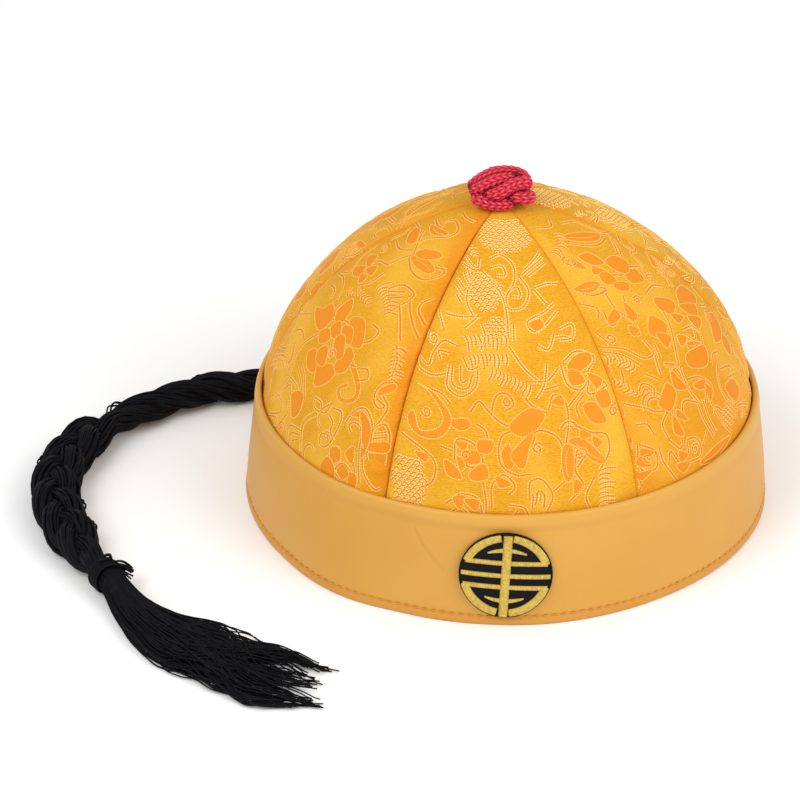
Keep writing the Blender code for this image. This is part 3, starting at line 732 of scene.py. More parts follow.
def drawn(shapes, lines, vines, tone):
    """Marks from the tables. tone gives how pale a thread is from its height on the gore."""
    marks = [open_mark(points, tone(points[0][1]), width, filled) for width, filled, *points in vines]
    marks += [open_mark(points, tone(points[0][1])) for points in lines]
    for points in shapes:
        pale = tone(points[0][1])
        corners = np.asarray(points, float)
        corners = corners + SHAPE_GROWTH * unit(corners - corners.mean(0))
        marks += [closed_mark(corners, pale)] + vein(corners, pale)
    return marks


# Each item is one orange shape, its corners in millimetres on the gore: across from the middle line
# and up from the band
LEFT_SHAPES = (
    ((-22, 47), (-17, 49), (-14, 53), (-9, 50), (-12, 44), (-18, 45)),
    ((-6, 51), (-8, 54), (-6, 60), (-3, 57), (-3, 52)),
    ((1, 55), (6, 57), (10, 53), (12, 49), (7, 48), (4, 51)),
    ((-10, 34), (-7, 37), (-2, 34), (-3, 31), (-7, 31)),
    ((-1, 34), (5, 37), (8, 35), (6, 31), (2, 28), (0, 31)),
    ((7, 39), (8, 42), (8, 46), (12, 44), (12, 39), (9, 37)), ((-6, 48), (-3, 51), (0, 47), (-3, 46)),
    ((0, 51), (4, 52), (7, 48), (3, 48)), ((0, 46), (3, 48), (7, 43), (5, 41), (2, 43)),
    ((-10, 43), (-7, 46), (-4, 44), (-7, 41)), ((-5, 38), (-2, 41), (1, 36), (-3, 35)),
    ((31, 39), (33, 41), (34, 39), (31, 37)),
    ((-9, 18), (-5, 21), (-2, 20), (-2, 15), (-5, 12), (-7, 15)),
    ((36, 19), (41, 20), (42, 17), (36, 17)),
    ((25, 25), (28, 28), (33, 25), (35, 19), (34, 13), (32, 20), (29, 25)),
    ((21, 11), (24, 12), (25, 9), (22, 7)), ((28, 12), (30, 15), (31, 10)),
    ((18, 3), (20, 7), (23, 5), (24, 1), (20, 0)), ((31, 5), (34, 5), (34, 1), (32, 0)),
    ((26, 5), (28, 7), (30, 5), (28, 3)), ((2, 87), (6, 85), (12, 84), (13, 86), (8, 88)),
    ((2, 89), (4, 92), (8, 93), (10, 91), (6, 89)), ((-11, 93), (-8, 95), (-4, 92), (-7, 90)),
    ((-6, 100), (1, 102), (3, 101), (-1, 99)), ((-17, 74), (-13, 77), (-12, 73)),
    ((-18, 68), (-14, 71), (-12, 69), (-15, 67)), ((-11, 72), (-8, 75), (-7, 72)),
    ((-11, 69), (-8, 70), (-9, 67)), ((-36, 50), (-33, 55), (-31, 52)),
)
# Each item is one double thread
LEFT_LINES = (
    ((-8, 51), (-10, 53), (-9, 57)), ((12, 50), (15, 53), (15, 57), (11, 58)),
    ((-12, 45), (-8, 50), (-3, 53), (3, 53)), ((-6, 48), (-2, 45), (0, 42), (3, 39)),
    ((-2, 53), (4, 54), (8, 50), (7, 45)), ((-11, 42), (-16, 36), (-18, 30), (-16, 22)),
    ((-34, 43), (-32, 37), (-31, 33), (-35, 26), (-41, 19), (-46, 9)), ((-27, 46), (-29, 41), (-31, 38)),
    ((-23, 44), (-28, 41), (-33, 38)), ((-18, 36), (-23, 37), (-29, 33), (-27, 31)),
    ((-30, 30), (-28, 27), (-34, 24), (-33, 28)), ((-41, 13), (-36, 19), (-27, 24), (-19, 23)),
    ((-34, 14), (-33, 19), (-27, 22), (-22, 21)), ((20, 38), (23, 40), (21, 43), (18, 42)),
    ((13, 39), (12, 41), (16, 42)), ((33, 42), (30, 41), (29, 37), (31, 33)),
    ((-32, 48), (-36, 49), (-31, 53)), ((-11, 29), (-6, 27), (-1, 21)), ((-13, 27), (-8, 25), (-4, 22)),
    ((-16, 22), (-19, 16), (-18, 11)), ((-15, 22), (-9, 22), (-5, 20)), ((-16, 17), (-13, 20), (-10, 17)),
    ((-22, 12), (-15, 12), (-15, 8), (-24, 3)), ((-24, 2), (-17, 5), (-14, 3), (-19, 0)),
    ((5, 24), (9, 24), (10, 21), (6, 21), (5, 24)), ((14, 26), (12, 24), (10, 21), (13, 22), (14, 26)),
    ((16, 25), (20, 25), (21, 20), (19, 12), (15, 10), (14, 14), (17, 15)),
    ((10, 19), (11, 17), (13, 16)), ((15, 22), (18, 20), (18, 17), (21, 14)),
    ((23, 22), (25, 28), (29, 30), (34, 26), (36, 20)),
    ((27, 20), (25, 22), (27, 24), (31, 22), (33, 14), (36, 4)),
    ((36, 20), (35, 24), (38, 27), (41, 23), (43, 18), (44, 12)), ((36, 23), (40, 24)),
    ((36, 21), (40, 22)), ((29, 35), (33, 32), (35, 33), (31, 35)),
    ((32, 37), (36, 33), (36, 28), (35, 25)), ((-5, 2), (-5, 8), (3, 10)), ((-3, 0), (-3, 6), (2, 8)),
    ((0, 0), (-1, 4), (2, 6)), ((24, 4), (27, 8), (31, 6), (28, 2), (24, 4)),
    ((30, 15), (32, 9), (35, 4)), ((34, 16), (37, 8), (42, 3), (44, 4)), ((37, 13), (36, 16), (40, 17)),
    (
        (-4, 79), (-1, 85), (1, 88), (-2, 93), (0, 97), (5, 101), (5, 105), (0, 108), (-3, 105),
        (-2, 102), (-8, 102),
    ),
    ((-12, 86), (-6, 86), (-1, 89)), ((-16, 84), (-14, 88), (-14, 92)),
    ((1, 86), (7, 82), (14, 81), (18, 85), (14, 88)), ((13, 87), (17, 87)),
    ((-22, 90), (-15, 94), (-9, 96)), ((-6, 97), (-2, 92)), ((-2, 112), (6, 111)), ((-20, 94), (-16, 97)),
    ((5, 72), (9, 76), (15, 75), (16, 72), (13, 65)), ((14, 69), (20, 63), (25, 57)),
    ((16, 72), (23, 65), (30, 59)), ((23, 75), (21, 71), (27, 65), (31, 63)), ((6, 71), (12, 74)),
    ((8, 69), (13, 72)), ((-4, 79), (-10, 77), (-12, 73)), ((-20, 78), (-22, 72), (-19, 66), (-24, 62)),
    ((-8, 66), (-4, 70), (-2, 76)), ((-26, 60), (-20, 62), (-15, 60), (-13, 56)),
    ((-24, 56), (-19, 57), (-17, 54)), ((-44, 30), (-40, 32), (-36, 30)), ((-45, 25), (-41, 26)),
    ((25, 55), (29, 50), (31, 44)), ((-12, 6), (-9, 11), (-10, 16)), ((8, 0), (7, 5), (10, 8), (13, 6)),
    ((-34, 3), (-31, 8), (-33, 12)),
)
# Each item is one stem: its width, 1 where it is filled with orange, and its points
LEFT_VINES = (
    (2.4, 1, (12, 43), (18, 39), (22, 35), (22, 31), (17, 29), (14, 32), (17, 35)),
    (2.0, 0, (9, 20), (4, 15), (3, 11), (5, 3)),
    (2.0, 1, (-23, 31), (-20, 27), (-22, 24), (-26, 26)),
)


def left_design():
    """Peony, feathered bird's back and scrolls."""
    pale = 0.15

    def tone(height):
        """A little paler in the lowest part."""
        return 0.35 if height < 27.0 else pale

    return (
        drawn(LEFT_SHAPES, LEFT_LINES, LEFT_VINES, tone)
        + comb([(1, 69), (5, 68), (9, 66), (12, 63)], 6.5, 80.0, 1.5, 0.3)
        + comb([(25, 53), (28, 47), (31, 42)], 5.0, 75.0, 1.5, 0.3)
        + comb([(-30, 66), (-26, 69), (-24, 74)], 4.5, 80.0, 1.6, pale)
        + comb([(-9, 60), (-3, 63), (3, 62)], 4.0, 95.0, 1.6, pale)
        + arches(-34, 15, 7.0, 8.0, 3, 2.0, pale=pale)
        + arches(29, 84, 6.0, -60.0, 3, 1.8, pale=pale)
        + arches(-10, 3, 3.4, 20.0, 2, 1.6, pale=pale)
        + curl(2, 40.5, 2.2, 0.0, 1.2, pale=0.4) + curl(20, 95, 2.4, 100.0, 1.2, pale=pale)
        + curl(17, 14.5, 1.8, 40.0, 1.0, pale=0.4) + curl(-37, 40, 2.4, 0.0, 1.2, pale=pale)
        + curl(-13, 81, 2.2, 60.0, 1.1, pale=pale) + curl(-25, 8, 2.0, 0.0, 1.2, pale=pale)
    )


FRONT_SHAPES = (
    ((8, 69), (11, 70), (12, 68), (10, 67)), ((-21, 33), (-16, 34), (-15, 32), (-18, 31)),
    (
        (-33, 43), (-27, 41), (-22, 35), (-23, 30), (-27, 27), (-33, 27), (-37, 31), (-34, 34), (-32, 29),
        (-26, 31), (-25, 35), (-29, 41),
    ),
    ((0, 33), (6, 38), (11, 36), (7, 31), (3, 30)), ((-3, 23), (-1, 26), (0, 20), (-2, 19)),
    ((1, 24), (7, 30), (5, 24), (4, 19), (1, 21)), ((14, 40), (17, 42), (18, 39), (15, 40)),
    ((18, 24), (21, 23), (21, 15), (19, 13), (18, 18)), ((22, 12), (24, 10), (22, 8)),
    ((20, 26), (25, 26), (31, 20), (33, 17), (29, 18), (24, 23)), ((25, 29), (28, 27), (25, 27)),
    ((29, 26), (32, 24), (30, 23)), ((-19, 26), (-16, 26), (-17, 24)),
    ((-16, 23), (-12, 23), (-12, 20), (-16, 20)), ((-23, 19), (-20, 17), (-18, 14), (-22, 15)),
    ((-14, 16), (-10, 19), (-9, 15), (-13, 14)), ((-11, 27), (-7, 27), (-8, 24), (-11, 24)),
    ((-19, 21), (-17, 19), (-18, 17)), ((-34, 20), (-30, 20), (-31, 18)), ((-5, 15), (-1, 13), (-4, 12)),
    ((-20, 6), (-17, 7), (-18, 3)), ((-16, 6), (-12, 6), (-13, 3)),
    ((24, 55), (28, 55), (29, 52), (24, 50), (21, 52)), ((21, 50), (24, 49), (26, 46), (22, 46)),
    ((28, 48), (33, 45), (31, 43)), ((26, 37), (30, 37), (34, 31), (29, 32)),
    ((31, 40), (35, 40), (36, 36), (33, 36)),
)
FRONT_LINES = (
    ((-5, 96), (-1, 98), (3, 93), (3, 86), (0, 80), (1, 75), (6, 76), (8, 82), (5, 88)),
    ((-5, 92), (-1, 93), (0, 89), (-3, 89)), ((2, 83), (4, 84), (5, 80), (2, 80)),
    ((-8, 90), (-4, 85), (-1, 79), (0, 71), (0, 64)), ((-9, 89), (-13, 83), (-14, 77), (-12, 72)),
    ((6, 89), (10, 92), (14, 95)), ((8, 88), (11, 90), (15, 92)), ((7, 91), (10, 94), (13, 97)),
    ((-25, 71), (-23, 65)), ((-22, 71), (-16, 71), (-10, 72)), ((-15, 94), (-10, 91), (-9, 95)),
    ((-16, 91), (-11, 90)), ((10, 83), (15, 84), (19, 83)), ((10, 82), (14, 76)),
    ((17, 76), (13, 73), (7, 70), (9, 66), (13, 68), (18, 73)),
    ((-34, 52), (-33, 49), (-27, 48), (-21, 50)), ((-33, 53), (-29, 51), (-27, 56), (-23, 61), (-18, 60)),
    ((-24, 54), (-25, 57), (-21, 57)), ((-21, 53), (-22, 45), (-17, 42), (-12, 46), (-11, 52)),
    ((-16, 56), (-14, 52), (-11, 53)), ((0, 61), (5, 53), (10, 48)), ((13, 54), (12, 47), (9, 42)),
    ((17, 52), (13, 48), (8, 48)), ((16, 64), (14, 59), (10, 61)), ((16, 63), (20, 63), (23, 61)),
    ((-14, 37), (-11, 41), (-8, 38), (-5, 35), (0, 32)),
    ((-7, 36), (-5, 43), (-1, 44), (1, 40), (-2, 38)),
    ((8, 31), (0, 31), (-4, 28), (-4, 20), (1, 16), (6, 16)),
    ((5, 29), (10, 31), (16, 28), (18, 22), (17, 16)), ((8, 29), (7, 25), (10, 23), (9, 26)),
    ((13, 38), (15, 43), (19, 40), (20, 33), (19, 26)), ((20, 38), (26, 44)), ((14, 9), (19, 13)),
    ((23, 24), (22, 16), (25, 10), (20, 5)), ((23, 31), (28, 28), (34, 26), (35, 20), (31, 14)),
    ((-20, 20), (-19, 27), (-13, 26), (-10, 20), (-15, 18), (-17, 22)),
    ((-40, 25), (-32, 22), (-27, 18), (-28, 11), (-33, 8)), ((-43, 1), (-36, 2), (-30, 6)),
    ((-10, 13), (-9, 6), (-9, 0)), ((-7, 4), (-7, 12), (-3, 16), (1, 12), (-1, 9)),
    ((-23, 4), (-18, 8), (-12, 7), (-10, 0)), ((-22, 0), (-18, 3), (-14, 0)),
    ((6, 7), (6, 13), (10, 14), (14, 8), (12, 2)), ((8, 5), (9, 10), (11, 8), (11, 4)),
    ((-1, 5), (4, 4), (6, 0)), ((19, 54), (24, 57), (31, 53), (28, 49)),
    ((18, 53), (20, 46), (25, 43), (28, 46), (28, 41), (36, 42)),
    ((18, 66), (23, 67), (23, 62), (18, 62)), ((-15, 67), (-10, 72)), ((-14, 90), (-12, 86)),
    ((-15, 88), (-13, 84)), ((-18, 85), (-15, 82)), ((-18, 82), (-15, 79)), ((-18, 79), (-16, 76)),
    ((-20, 52), (-20, 46), (-15, 45), (-13, 50)), ((-17, 53), (-17, 47), (-15, 48)), ((17, 46), (12, 45)),
    ((22, 21), (26, 21), (23, 17)), ((30, 46), (34, 44), (36, 41)), ((-9, 69), (-8, 64), (-10, 59)),
    ((2, 69), (2, 63)), ((-38, 38), (-41, 34), (-39, 30)), ((-12, 33), (-9, 31), (-8, 27)),
    ((-25, 24), (-21, 23)), ((29, 12), (26, 6), (28, 0)), ((-28, 43), (-24, 42), (-21, 39)),
    ((4, 44), (7, 40), (12, 37)), ((24, 34), (23, 38), (26, 41)), ((0, 0), (2, 3)),
)


def front_design():
    """A scaled and maned beast over scrolls, small flowers and clouds; its threads are the palest."""

    # paler towards the top: partly the threads' own paler colour and partly a painted highlight where light
    # falls on the crown's upper front
    def tone(height):
        """Rises evenly from 0.25 at 38 mm up to 1 at 68 mm."""
        return 0.25 + 0.75 * min(1.0, max(0.0, (height - 38.0) / 30.0))

    return (
        scales(1, 106, 20, 16, 0.0, 2.3, 1.0)
        + scales(-7.5, 81, 12, 15, 10.0, 2.3, 1.0)
        + scales(-37, 9, 13, 17, 0.0, 2.3, 0.8)
        + scales(-4, 67, 8, 9, 0.0, 2.0, 0.9)
        + drawn(FRONT_SHAPES, FRONT_LINES, (), tone)
        + comb([(-16, 100), (-12, 95)], 4.0, 95.0, 1.5, 1.0)
        + comb([(-15, 64), (-8, 65), (-1, 65)], 6.0, -85.0, 1.5, 0.8, 0.3)
        + comb([(-14, 57), (-8, 58), (-1, 58)], 5.5, -85.0, 1.5, 0.7, 0.3)
        + comb([(-6, 53), (1, 50), (7, 47)], 5.0, -80.0, 1.5, 0.6, 0.4)
        + comb([(31, 14), (31, 8), (31, 1)], 6.5, 90.0, 1.6, 0.6, 0.4)
        + comb([(7, 9), (11, 9)], 5.0, -90.0, 1.4, 0.6, 0.2)
        + arches(-4, 117, 5.0, 90.0, 2, 1.7, pale=1.0)
        + arches(20, 30, 3.0, 0.0, 2, 1.5, pale=0.25)
        + curl(9, 25, 1.9, 60.0, 1.2, pale=0.3) + curl(24, 21, 2.4, 0.0, 1.0, pale=0.3)
        + curl(-16, 22, 1.6, 0.0, 1.1, pale=0.3) + curl(-27, 61, 2.4, 140.0, 1.2, pale=0.9)
        + curl(38, 33, 2.6, 10.0, 1.2, pale=0.25) + curl(-41, 45, 2.2, 0.0, 1.1, pale=0.6)
        + curl(-1, 41, 1.7, 90.0, 1.1, pale=0.3) + curl(-30, 35, 2.0, 200.0, 1.1, pale=0.3)
    )


RIGHT_SHAPES = (
    ((-44, 33), (-40, 33), (-42, 29), (-46, 28)), ((-37, 49), (-35, 48), (-36, 46)),
    ((-3, 100), (3, 97), (11, 91), (6, 91), (-1, 96)), ((-7, 90), (-3, 89), (-2, 84), (-6, 86)),
    ((-7, 84), (-5, 81), (-9, 82)), ((-8, 80), (-5, 80), (-5, 76), (-9, 77)),
    ((2, 75), (7, 74), (6, 70), (1, 72)), ((-6, 75), (-2, 73), (-4, 71), (-7, 73)),
    ((0, 83), (5, 82), (7, 78), (3, 76), (0, 79)), ((-21, 79), (-15, 80), (-12, 78), (-17, 77)),
    ((-16, 67), (-17, 64), (-21, 63), (-20, 65)), ((-10, 67), (-10, 62), (-13, 61), (-12, 64)),
    ((-16, 59), (-14, 57), (-17, 56)), ((17, 57), (24, 55), (27, 50), (23, 49), (14, 53)),
    ((12, 54), (21, 49), (16, 47)), ((4, 62), (10, 57), (5, 55), (2, 59)),
    ((-5, 58), (-2, 53), (-7, 51), (-10, 54)), ((-8, 52), (-4, 49), (-8, 47)),
    ((5, 54), (9, 51), (5, 51)), ((12, 49), (18, 45), (13, 44)),
    ((24, 42), (32, 38), (27, 33), (19, 35), (23, 39)), ((0, 47), (3, 45), (-1, 44)),
    ((3, 43), (8, 40), (2, 41)), ((-1, 40), (9, 38), (5, 33), (-3, 36)), ((-13, 42), (-8, 39), (-12, 40)),
    ((-13, 38), (-12, 34), (-11, 31), (-15, 33)), ((-18, 35), (-17, 31), (-22, 27), (-25, 30), (-21, 33)),
    ((-22, 24), (-21, 17), (-24, 19)), ((-19, 25), (-17, 21), (-20, 23)),
    ((-6, 30), (-1, 29), (-2, 27), (-5, 28)), ((-1, 27), (1, 24), (-2, 22)),
    ((11, 20), (18, 19), (21, 14), (15, 13)), ((-40, 17), (-36, 15), (-40, 14)),
    ((-41, 14), (-39, 11), (-43, 12)), ((-44, 9), (-39, 9), (-43, 7)), ((-25, 11), (-22, 9), (-25, 8)),
    ((-15, 4), (-6, 5), (4, 4), (-6, 2), (-13, 2)), ((-27, 7), (-22, 6), (-25, 4)),
    ((24, 30), (28, 32), (30, 28), (26, 26)), ((33, 48), (37, 50), (38, 45), (34, 44)),
    ((19, 69), (24, 71), (22, 66)), ((-12, 88), (-10, 91), (-10, 86)),
)
RIGHT_LINES = (
    ((3, 104), (10, 99), (13, 91), (19, 86), (27, 83)), ((-5, 97), (0, 92), (5, 89), (11, 88)),
    ((12, 90), (15, 86), (8, 80)), ((14, 86), (8, 82)), ((5, 77), (11, 73), (9, 69)),
    ((-2, 79), (1, 79), (0, 76), (-3, 78)), ((-21, 78), (-18, 75), (-11, 75), (-15, 78)),
    ((-13, 74), (-15, 67), (-13, 60), (-15, 55), (-18, 58)), ((-20, 68), (-22, 62), (-16, 64)),
    ((-8, 70), (-10, 66), (-9, 61)), ((28, 56), (36, 55), (43, 50), (39, 45)),
    ((9, 48), (12, 42), (7, 37)), ((4, 48), (10, 46), (7, 42), (4, 46)),
    ((2, 62), (1, 54), (-4, 46), (-8, 40), (-8, 37)),
    ((-33, 56), (-25, 53), (-20, 47), (-15, 47), (-15, 52)), ((-33, 54), (-27, 51), (-23, 45)),
    ((-29, 61), (-28, 56)), ((-16, 45), (-18, 39)), ((-15, 53), (-15, 47), (-18, 40)),
    ((-14, 38), (-11, 40), (-10, 36)), ((-4, 46), (-8, 39), (-10, 30), (-8, 23)),
    ((-30, 37), (-27, 39), (-24, 36), (-26, 33)), ((-30, 35), (-27, 37), (-27, 33)),
    ((-38, 34), (-32, 31), (-28, 28), (-22, 27)), ((-17, 30), (-22, 25), (-22, 17), (-24, 12), (-28, 17)),
    ((-28, 18), (-28, 23), (-23, 27)), ((-9, 24), (-14, 27), (-17, 25), (-18, 20)),
    ((-8, 33), (-2, 31), (2, 25), (-3, 21)), ((-6, 29), (-2, 26), (-5, 22)),
    ((-9, 24), (-9, 17), (-6, 9)), ((-6, 24), (-6, 16), (-4, 10)), ((-9, 13), (-13, 9)),
    ((14, 30), (9, 27), (7, 21), (10, 14), (15, 9)), ((12, 27), (20, 24), (22, 20), (15, 22)),
    ((23, 25), (28, 17)), ((-2, 21), (1, 12), (6, 5)), ((12, 7), (16, 10), (25, 6), (30, 0)),
    ((-21, 9), (-20, 14), (-15, 12), (-15, 6), (-21, 6)),
    ((-41, 19), (-43, 11), (-37, 9), (-35, 15), (-40, 19)), ((-42, 22), (-45, 14), (-44, 5)),
    ((-33, 16), (-33, 10), (-29, 2)), ((-31, 9), (-29, 13), (-27, 9)), ((-46, 16), (-51, 11), (-50, 4)),
    ((-12, 50), (-14, 44)), ((32, 23), (36, 16), (37, 8)), ((33, 57), (27, 62), (20, 63), (16, 60)),
    ((24, 79), (19, 76), (14, 78), (13, 72)), ((20, 83), (16, 82), (17, 77)),
    ((2, 66), (8, 66), (12, 63)), ((-25, 73), (-21, 70), (-24, 66)), ((-7, 108), (-2, 106), (1, 108)),
    ((26, 46), (31, 43), (35, 44)), ((36, 38), (39, 33), (36, 29), (32, 30)),
    ((28, 24), (32, 26), (31, 21)), ((20, 4), (24, 2)), ((38, 22), (42, 19), (42, 12)),
    ((-3, 16), (0, 18), (3, 15)), ((34, 6), (38, 4), (40, 0)), ((-38, 26), (-34, 25), (-33, 21)),
    ((-39, 42), (-36, 40), (-33, 42), (-31, 46)), ((-24, 42), (-20, 38)), ((-48, 24), (-44, 26)),
    ((8, 31), (12, 33), (16, 32)),
)


def right_design():
    """Two peonies on curved stems, a feathered wing, shells and a rose."""
    pale = 0.2

    def tone(height):
        """A little paler across the middle."""
        return 0.45 if 42.0 < height < 50.0 else pale

    return (
        drawn(RIGHT_SHAPES, RIGHT_LINES, (), tone)
        + comb([(32, 71), (24, 69), (17, 67)], 8.0, 85.0, 1.5, pale)
        + comb([(-33, 53), (-28, 51), (-25, 47)], 5.0, -85.0, 1.5, 0.5)
        + comb([(-36, 44), (-33, 41), (-31, 37)], 4.0, -80.0, 1.6, 0.4)
        + comb([(-52, 14), (-48, 12), (-44, 4)], 4.0, -80.0, 1.5, 0.6, 0.3)
        + comb([(-14, 96), (-9, 98), (-5, 102)], 3.6, -80.0, 1.5, pale)
        + comb([(24, 60), (30, 58), (36, 58)], 4.0, 85.0, 1.6, pale)
        + scales(8, 11, 11, 9, 0.0, 2.1, 0.45)
        + scales(31, 12, 8, 12, 0.0, 2.1, 0.35)
        + arches(-27, 30, 5.0, 15.0, 2, 1.8, 80.0, pale=pale)
        + arches(22, 3, 5.0, 0.0, 2, 1.8, pale=pale)
        + curl(-17.5, 9.5, 2.0, 0.0, 1.3, pale=0.4) + curl(-12, 90, 2.4, 80.0, 1.2, pale=pale)
        + curl(21, 21, 2.0, 0.0, 1.2, pale=0.3) + curl(-39, 13, 1.6, 60.0, 1.3, pale=pale)
        + curl(26, 41, 2.2, 30.0, 1.1, pale=pale) + curl(10, 68, 2.0, 0.0, 1.1, pale=pale)
        + curl(-26, 58, 2.0, 200.0, 1.2, pale=0.3) + curl(-4, 66, 1.8, 0.0, 1.2, pale=pale)
    )


def signed_gap(points, mark):
    """Distance to the mark's edge, negative inside.

    Open: the least over the segments of the distance to the segment less the half width there.
    Closed: the distance to the rim. A point is inside where a ray from it to the right crosses the
    rim an odd number of times.
    """
    closed = mark.half is None
    start = mark.line if closed else mark.line[:-1]
    stop = np.roll(mark.line, -1, axis=0) if closed else mark.line[1:]
    run = stop - start
    away = points[:, None] - start
    share = np.clip((away * run).sum(-1) / np.maximum((run ** 2).sum(-1), TINY), 0.0, 1.0)
    gap = np.linalg.norm(away - share[..., None] * run, axis=-1)
    if not closed:
        return (gap - mark.half[:-1] - share * np.diff(mark.half)).min(1)
    level = points[:, 1, None]
    spans = (start[:, 1] > level) != (stop[:, 1] > level)
    rise = np.where(run[:, 1] == 0.0, TINY, run[:, 1])
    crossing = start[:, 0] + (level - start[:, 1]) * run[:, 0] / rise
    inside = (spans & (points[:, 0, None] < crossing)).sum(1) % 2 == 1
    return np.where(inside, -1.0, 1.0) * gap.min(1)


def near_mark(points, mark, reach):
    """Which points lie in the mark's bounding box, let out by the reach."""
    out = reach + (0.0 if mark.half is None else mark.half.max())
    low, high = mark.line.min(0) - out, mark.line.max(0) + out
    return np.flatnonzero(((points > low) & (points < high)).all(1))


# Width of the soft edge of an orange fill, and how far the fill stands up
FILL_EDGE = 1.2
FILL_RISE = 0.06


def orange_field(across, up, marks):
    """How far inside the orange each point lies: 0.5 on its edge, rising evenly over the edge's width.

    A later mark wins over an earlier one.
    """
    flat = np.column_stack([across.ravel(), up.ravel()])
    field = np.zeros(len(flat))
    for mark in marks:
        if mark.covers:
            near = near_mark(flat, mark, 0.7)
            inside = np.clip(0.5 - signed_gap(flat[near], mark) / FILL_EDGE, 0.0, 1.0)
            if mark.filled > 0.5:
                field[near] = np.maximum(field[near], inside)
            else:
                field[near] = np.minimum(field[near], 1.0 - inside)
    return field.reshape(across.shape)


# Pattern threads: spacing of their points, half widths of the pale and the middle one, how far they
# stand up, how far apart the threads of a pair lie, and the shortest one woven
THREAD_STEP = 0.80
THREAD_HALF = 0.30
MIDDLE_HALF = 0.25
THREAD_RISE = 0.18
PAIR_OFFSET = 0.48
LEAST_THREAD = 1.0


def rim_of(mark):
    """A mark's thread, and whether it is a double one.

    A wide mark's thread runs along its left edge and back along its right.
    """
    if mark.half is None:
        return (np.vstack([mark.line, mark.line[:1]]) if mark.covers else mark.line), False
    if mark.half.max() < 0.05:
        return mark.line, True
    aside = left_of(mark.line) * mark.half[:, None]
    return np.vstack([mark.line + aside, (mark.line - aside)[::-1], mark.line[:1] + aside[:1]]), False


def thread_paths(marks):
    """Flat points of all showing threads, with a run number, the length along each and its paleness.

    Thin marks are woven double, two pale threads with a deep orange one between that is painted shade in the
    groove between them. Points inside a later covering mark are left out, and a run ends wherever points are
    missing.
    """
    places, owners, runs, lengths, tones = [], [], [], [], []
    for owner, mark in enumerate(marks):
        rim, double = rim_of(mark)
        rim_run = run_along(rim)
        if rim_run[-1] < LEAST_THREAD:
            continue
        at = np.linspace(0.0, rim_run[-1], max(3, round(rim_run[-1] / THREAD_STEP)))
        line = read_off(at, rim_run, rim)
        aside = left_of(line)
        # the middle one of a pair is painted shade between the two pale threads
        pair = ((-PAIR_OFFSET, mark.pale), (0.0, -1.0), (PAIR_OFFSET, mark.pale))
        for offset, tone in pair if double else ((0.0, mark.pale),):
            places.append(line + offset * aside)
            owners.append(np.full(len(line), owner))
            runs.append(np.full(len(line), len(runs)))
            lengths.append(at + 1.2 * offset)
            tones.append(np.full(len(line), tone))
    lists = (places, owners, runs, lengths, tones)
    place, owner, run, length, tone = (np.concatenate(part) for part in lists)
    shown = np.ones(len(place), bool)
    for index, mark in enumerate(marks):
        if mark.covers:
            near = near_mark(place, mark, 0.1)
            near = near[owner[near] < index]
            if len(near):
                shown[near[signed_gap(place[near], mark) < -0.1]] = False
    return place, run, length, tone, shown


# Points across a panel, up it and in its tucked foot, and how many of them the lining skips
GORE_COLUMNS = 118
GORE_ROWS = 164
TUCK_ROWS = 6
INNER_STEP = 6
TUCK_DEPTH = 5.0
SEAM_GAP = 0.02
# The panel's edge turns in over this width and by this depth
ROLL_WIDTH = 1.5
ROLL_DEPTH = 0.62
# How far apart the panels are cut from the cloth, so that their weaves differ
CLOTH_STEP = 140.0


# Panels by number, in the order of their azimuth
FRONT_PANEL = 1
RIGHT_PANEL = 2
LEFT_PANEL = 6


def seam_strength(number, across):
    """1 at an ordinary seam, and 0.45 at the front-right one, which is pressed nearly flat."""
    side = {FRONT_PANEL: 1.0, RIGHT_PANEL: -1.0}.get(number, 0.0)
    return np.where(across * side > 0.0, 0.45, 1.0)


def gore_face(number, across, run):
    """The outer face of one panel at flat places: the crown's surface, rolled in along the two seams.

    With e the share of the roll's width that is left to the edge, the roll is depth * (1 - e)^2.
    """
    radius = dome_radius(run)
    azimuth = FIRST_SEAM + GORE_ANGLE * (number - 0.5) + np.degrees(across / radius)
    point = crown_surface(azimuth, run)
    beside = crown_surface(azimuth + 0.05, run)
    above = crown_surface(azimuth, run + 0.05)
    facing = unit(np.cross(beside - point, above - point))
    from_edge = HALF_GORE * radius - np.abs(across)
    roll = np.clip(1.0 - from_edge / np.minimum(ROLL_WIDTH, 0.25 * radius), 0.0, 1.0) ** 2.0
    roll = ROLL_DEPTH * seam_strength(number, across) * roll
    return point - roll[..., None] * facing, facing, from_edge


